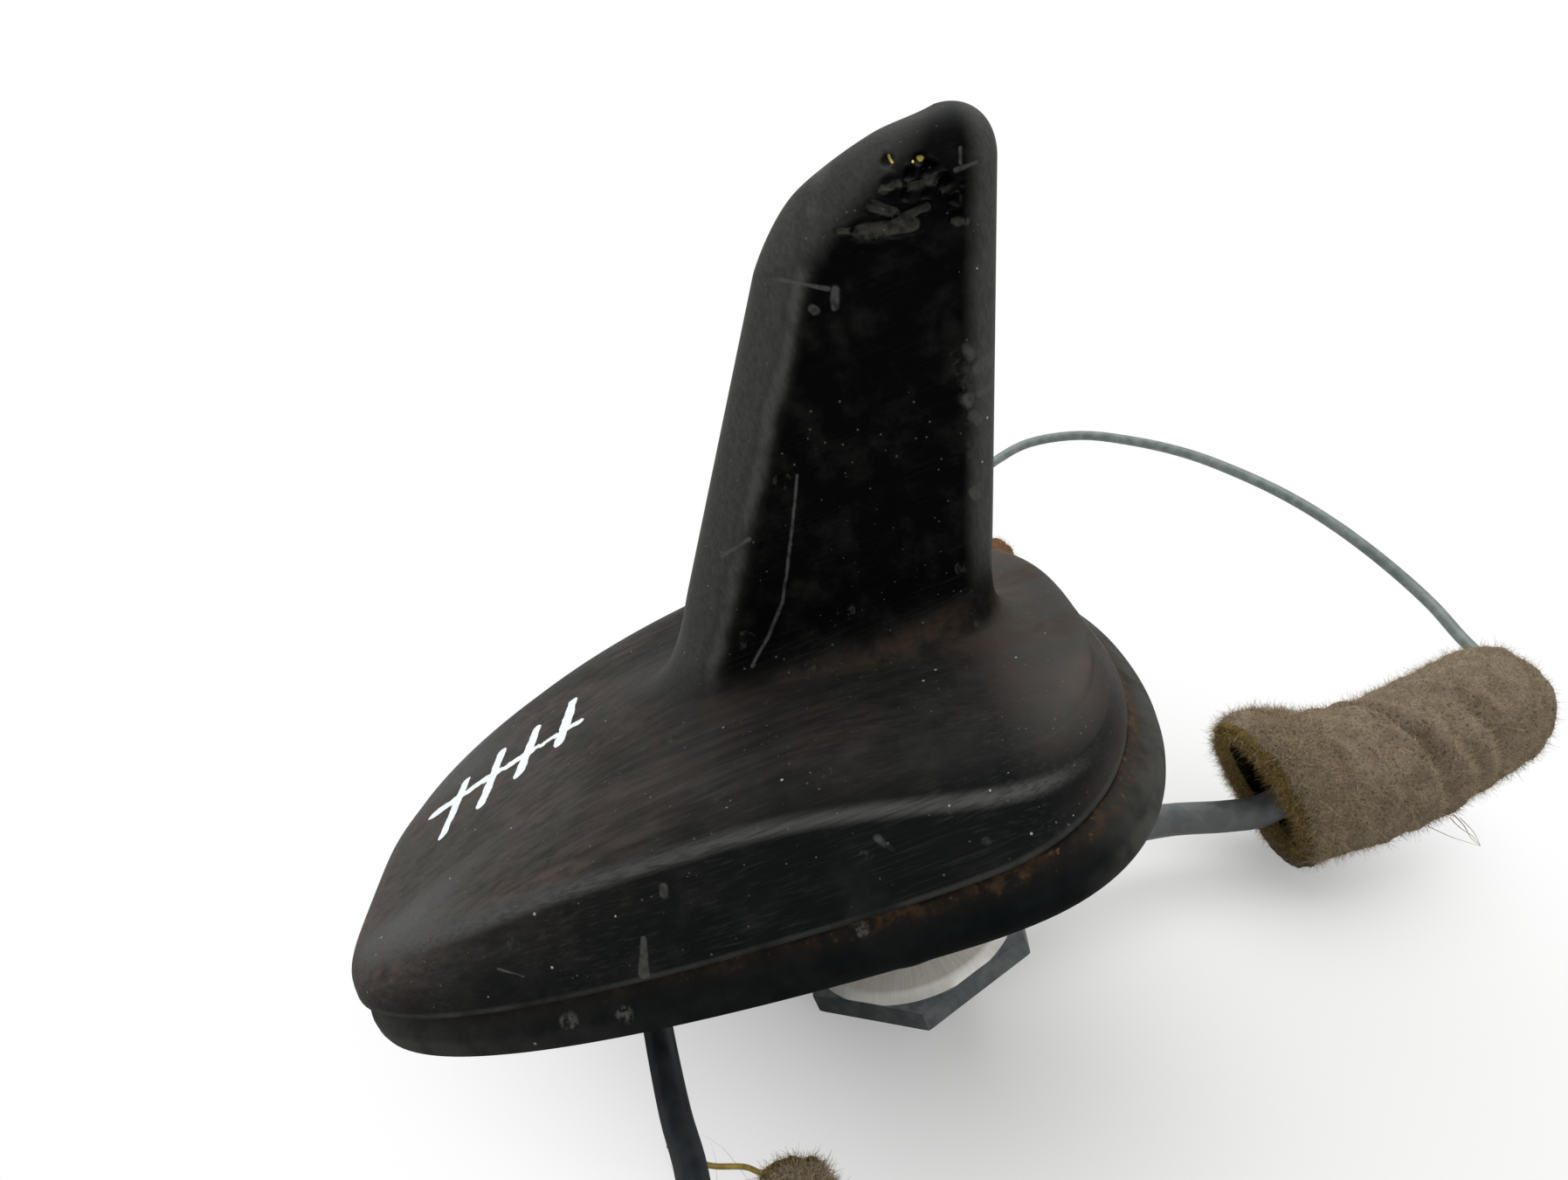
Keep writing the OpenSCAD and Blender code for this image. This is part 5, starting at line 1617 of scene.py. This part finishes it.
def fold_marks(piece, rows):
    """Dark strokes along the two deepest folds, each in two steps."""
    marks = []
    for fold, spread, width in zip(LONG_FOLDS, (44, 30), (0.9, 0.5)):
        where, angle, _, _, skew = fold
        ends = [(where + skew * math.radians(turn), angle + turn) for turn in (-spread, -10, 24)]
        spots = [skin_place(piece, rows, *end) for end in ends]
        marks.append((spots[0], spots[1], width, 1.3, 0.8))
        marks.append((spots[1], spots[2], width * 0.8, 1.0, 0.8))
    return marks


# %% Foam and fibre finishes


def foam_finish(name, dark, middle, light, folds=()):
    material, tree, shader, place = start_material(name, roughness=1.0, specular=0.1)
    blotch = clouds(tree, place, 0.28, 4.0, 0.6)
    pores = clouds(tree, place, 1.9, 5.0, 0.7)
    colour = blend(tree, ramp(tree, blotch, 0.35, 0.68), middle, light)
    colour = blend(tree, ramp(tree, pores, 0.52, 0.30), colour, dark)
    if folds:
        colour = tint(tree, colour, strokes(tree, place, folds, 0.4), 0.9, dark)
    feed(tree, shader, "Base Color", colour)
    set_bump(tree, shader, pores, 0.6)
    return material


def fibre_finish(name, dark, light):
    material, tree, shader, place = start_material(name, roughness=0.9, specular=0.15)
    tone = clouds(tree, place, 2.4, 3.0)
    feed(tree, shader, "Base Color", blend(tree, ramp(tree, tone, 0.3, 0.7), dark, light))
    return material


cut_foam = foam_finish("foam_cut_edge", (0.022, 0.014, 0.003), (0.110, 0.074, 0.020),
                       (0.20, 0.14, 0.052))
# Painted shade: the bore is the same foam, made nearly black because little light gets into it
bore_shade_foam = foam_finish("foam_bore_painted_shade", (0.004, 0.003, 0.002), (0.012, 0.008, 0.004),
                        (0.022, 0.015, 0.008))
grey_foam = foam_finish("foam_grey_brown", (0.050, 0.036, 0.020), (0.170, 0.130, 0.088),
                        (0.245, 0.195, 0.140), fold_marks(long_sleeve, len(sleeve_axis)))
brown_foam = foam_finish("foam_brown", (0.045, 0.020, 0.010), (0.12, 0.058, 0.030),
                         (0.17, 0.09, 0.05))
grey_fibre = fibre_finish("fibre_grey_brown", (0.20, 0.15, 0.085), (0.42, 0.34, 0.235))
cut_fibre = fibre_finish("fibre_cut_edge", (0.11, 0.074, 0.024), (0.36, 0.26, 0.12))
brown_fibre = fibre_finish("fibre_brown", (0.12, 0.06, 0.03), (0.24, 0.13, 0.07))
# The order is that of the slots: skin, cut ends, bore
for piece, skin_foam in ((long_sleeve, grey_foam), (front_foam, grey_foam), (far_foam, brown_foam)):
    for finish in (skin_foam, cut_foam, bore_shade_foam):
        piece.data.materials.append(finish)
for coat, skin_fibre in ((long_fuzz, grey_fibre), (front_fuzz, grey_fibre), (far_fuzz, brown_fibre)):
    for finish in (skin_fibre, cut_fibre):
        coat.data.materials.append(finish)
print("finishes with the foam:", len(bpy.data.materials))

# %% [markdown]
# ## Inside the cover
# The electronics can't be seen, but anyone who lifts the cover finds them finished: green
# board with a printed pattern, tinned can, ceramic patch with silver face, brass radiator.

# %% Finishes of the electronics


def board_finish():
    material, tree, shader, place = start_material("circuit_board", roughness=0.35)
    tracks = add(tree, "ShaderNodeTexBrick", {
        "Vector": place, "Scale": 0.28, "Mortar Size": 0.03, "Color1": (0.012, 0.085, 0.03, 1),
        "Color2": (0.02, 0.11, 0.04, 1), "Mortar": (0.04, 0.20, 0.07, 1)})
    pads = dust(tree, place, 2.2, 0.5, 0.35)
    colour = blend(tree, pads, tracks.outputs["Color"], (0.6, 0.58, 0.54))
    feed(tree, shader, "Base Color", colour)
    set_bump(tree, shader, pads, 0.05)
    return material


tin = plain_finish("tinned_steel", (0.55, 0.55, 0.53), (0.70, 0.70, 0.68), 0.30, metallic=0.9,
                   size=3.0)
screw = plain_finish("plated_screw", (0.50, 0.50, 0.49), (0.66, 0.66, 0.65), 0.32, metallic=0.9)
ceramic = plain_finish("ceramic", (0.62, 0.57, 0.47), (0.72, 0.68, 0.58), 0.55, size=2.0)
silver = plain_finish("fired_silver", (0.60, 0.60, 0.58), (0.72, 0.72, 0.70), 0.38, metallic=0.85)
rubber = plain_finish("black_rubber", (0.012, 0.012, 0.012), (0.022, 0.022, 0.022), 0.6)
board = board_finish()
finishes = {
    "main_board": board, "fin_board": board, "board_screws": screw,
    "shield_can": tin, "coax_ferrules": tin, "patch_ceramic": ceramic, "patch_electrode": silver,
    "feed_pin": brass, "fin_radiator": brass, "contact_spring": brass, "connector_front": brass,
    "connector_far": brass, "connector_rear": amber, "inner_leads": jacket,
    "stud_grommet": rubber}
for name, finish in finishes.items():
    data = solids[name].data
    data.materials.clear()
    data.materials.append(finish)
print("finished solids:", len(finishes))

# %% [markdown]
# ## Table, light and surroundings
# A white table in a light tent: one broad soft lamp above the table, a weaker sky all round,
# and a brighter wall behind the photographer. Far from the antenna the table turns into the
# plain white of the backdrop. Seen from below, it is clear, so that it never hides the antenna.

# %% Table
TABLE_HALF = 3
WHITE_FROM, WHITE_FULL = 0.030, 0.105
table_mesh = bpy.data.meshes.new("table")
across = Vector((0, 1, 0))
along = across.cross(table_up)
centre = Vector((20, 20, table_z(20))) * MM
corners = [centre + along * a * TABLE_HALF + across * b * TABLE_HALF
           for a, b in ((-1, -1), (1, -1), (1, 1), (-1, 1))]
table_mesh.from_pydata([tuple(c) for c in corners], [], [(0, 1, 2, 3)])
table_mesh.update()
if table_mesh.polygons[0].normal.dot(table_up) < 0:
    table_mesh.flip_normals()
table = bpy.data.objects.new("table", table_mesh)
bpy.context.scene.collection.objects.link(table)


def table_finish():
    material = bpy.data.materials.new("white_table")
    material.use_nodes = True
    tree = material.node_tree
    shader = tree.nodes["Principled BSDF"]
    shader.inputs["Base Color"].default_value = (0.56, 0.566, 0.548, 1)
    shader.inputs["Roughness"].default_value = 0.85
    shader.inputs["Specular IOR Level"].default_value = 0.2
    where = tree.nodes.new("ShaderNodeTexCoord").outputs["Object"]
    far = vector_calc(tree, "DISTANCE", where, tuple(centre))
    seen = tree.nodes.new("ShaderNodeLightPath").outputs["Is Camera Ray"]
    white = times(tree, ramp(tree, far, WHITE_FROM, WHITE_FULL, 0.26, 1.0), seen)
    glow = add(tree, "ShaderNodeEmission", {"Color": (1, 1, 1, 1), "Strength": 1.0})
    lit = add(tree, "ShaderNodeMixShader", {0: white, 1: shader.outputs[0], 2: glow.outputs[0]})
    behind = tree.nodes.new("ShaderNodeNewGeometry").outputs["Backfacing"]
    clear = tree.nodes.new("ShaderNodeBsdfTransparent")
    whole = add(tree, "ShaderNodeMixShader", {0: behind, 1: lit.outputs[0], 2: clear.outputs[0]})
    tree.links.new(whole.outputs[0], tree.nodes["Material Output"].inputs["Surface"])
    return material


table_mesh.materials.append(table_finish())
print("table:", 2 * TABLE_HALF, "m wide")

# %% Lamp and sky
LAMP_UP, LAMP_ALONG, LAMP_ACROSS = 0.75, -0.06, 0.26
lamp_data = bpy.data.lights.new("softbox", "AREA")
lamp_data.shape = "DISK"
lamp_data.size = 0.9
lamp_data.energy = 6.0
lamp = bpy.data.objects.new("softbox", lamp_data)
lamp_place = centre + table_up * LAMP_UP + along * LAMP_ALONG + across * LAMP_ACROSS
lamp.location = lamp_place
lamp.rotation_euler = (centre - lamp_place).to_track_quat("-Z", "Y").to_euler()
bpy.context.scene.collection.objects.link(lamp)
sky = bpy.data.worlds.new("sky")
bpy.context.scene.world = sky
sky.use_nodes = True
tree = sky.node_tree
background = tree.nodes["Background"]
paths = tree.nodes.new("ShaderNodeLightPath").outputs
direction = tree.nodes.new("ShaderNodeTexCoord").outputs["Generated"]
height = vector_calc(tree, "DOT_PRODUCT", direction, tuple(table_up))
light = ramp(tree, height, -0.2, 0.8, 0.55, 0.85)
wall = vector_calc(tree, "DOT_PRODUCT", direction, (0.05, -1, 0))
light = calc(tree, "MULTIPLY", light, ramp(tree, wall, 0.1, 0.85, 1.0, 1.5))
seen = calc(tree, "MAXIMUM", paths["Is Camera Ray"], paths["Is Transmission Ray"])
strength = add(tree, "ShaderNodeMix", {0: seen, 2: light, 3: 1.0}).outputs[0]
tree.links.new(strength, background.inputs["Strength"])
background.inputs["Color"].default_value = (1, 1, 1, 1)
print("lamp energy", lamp_data.energy)
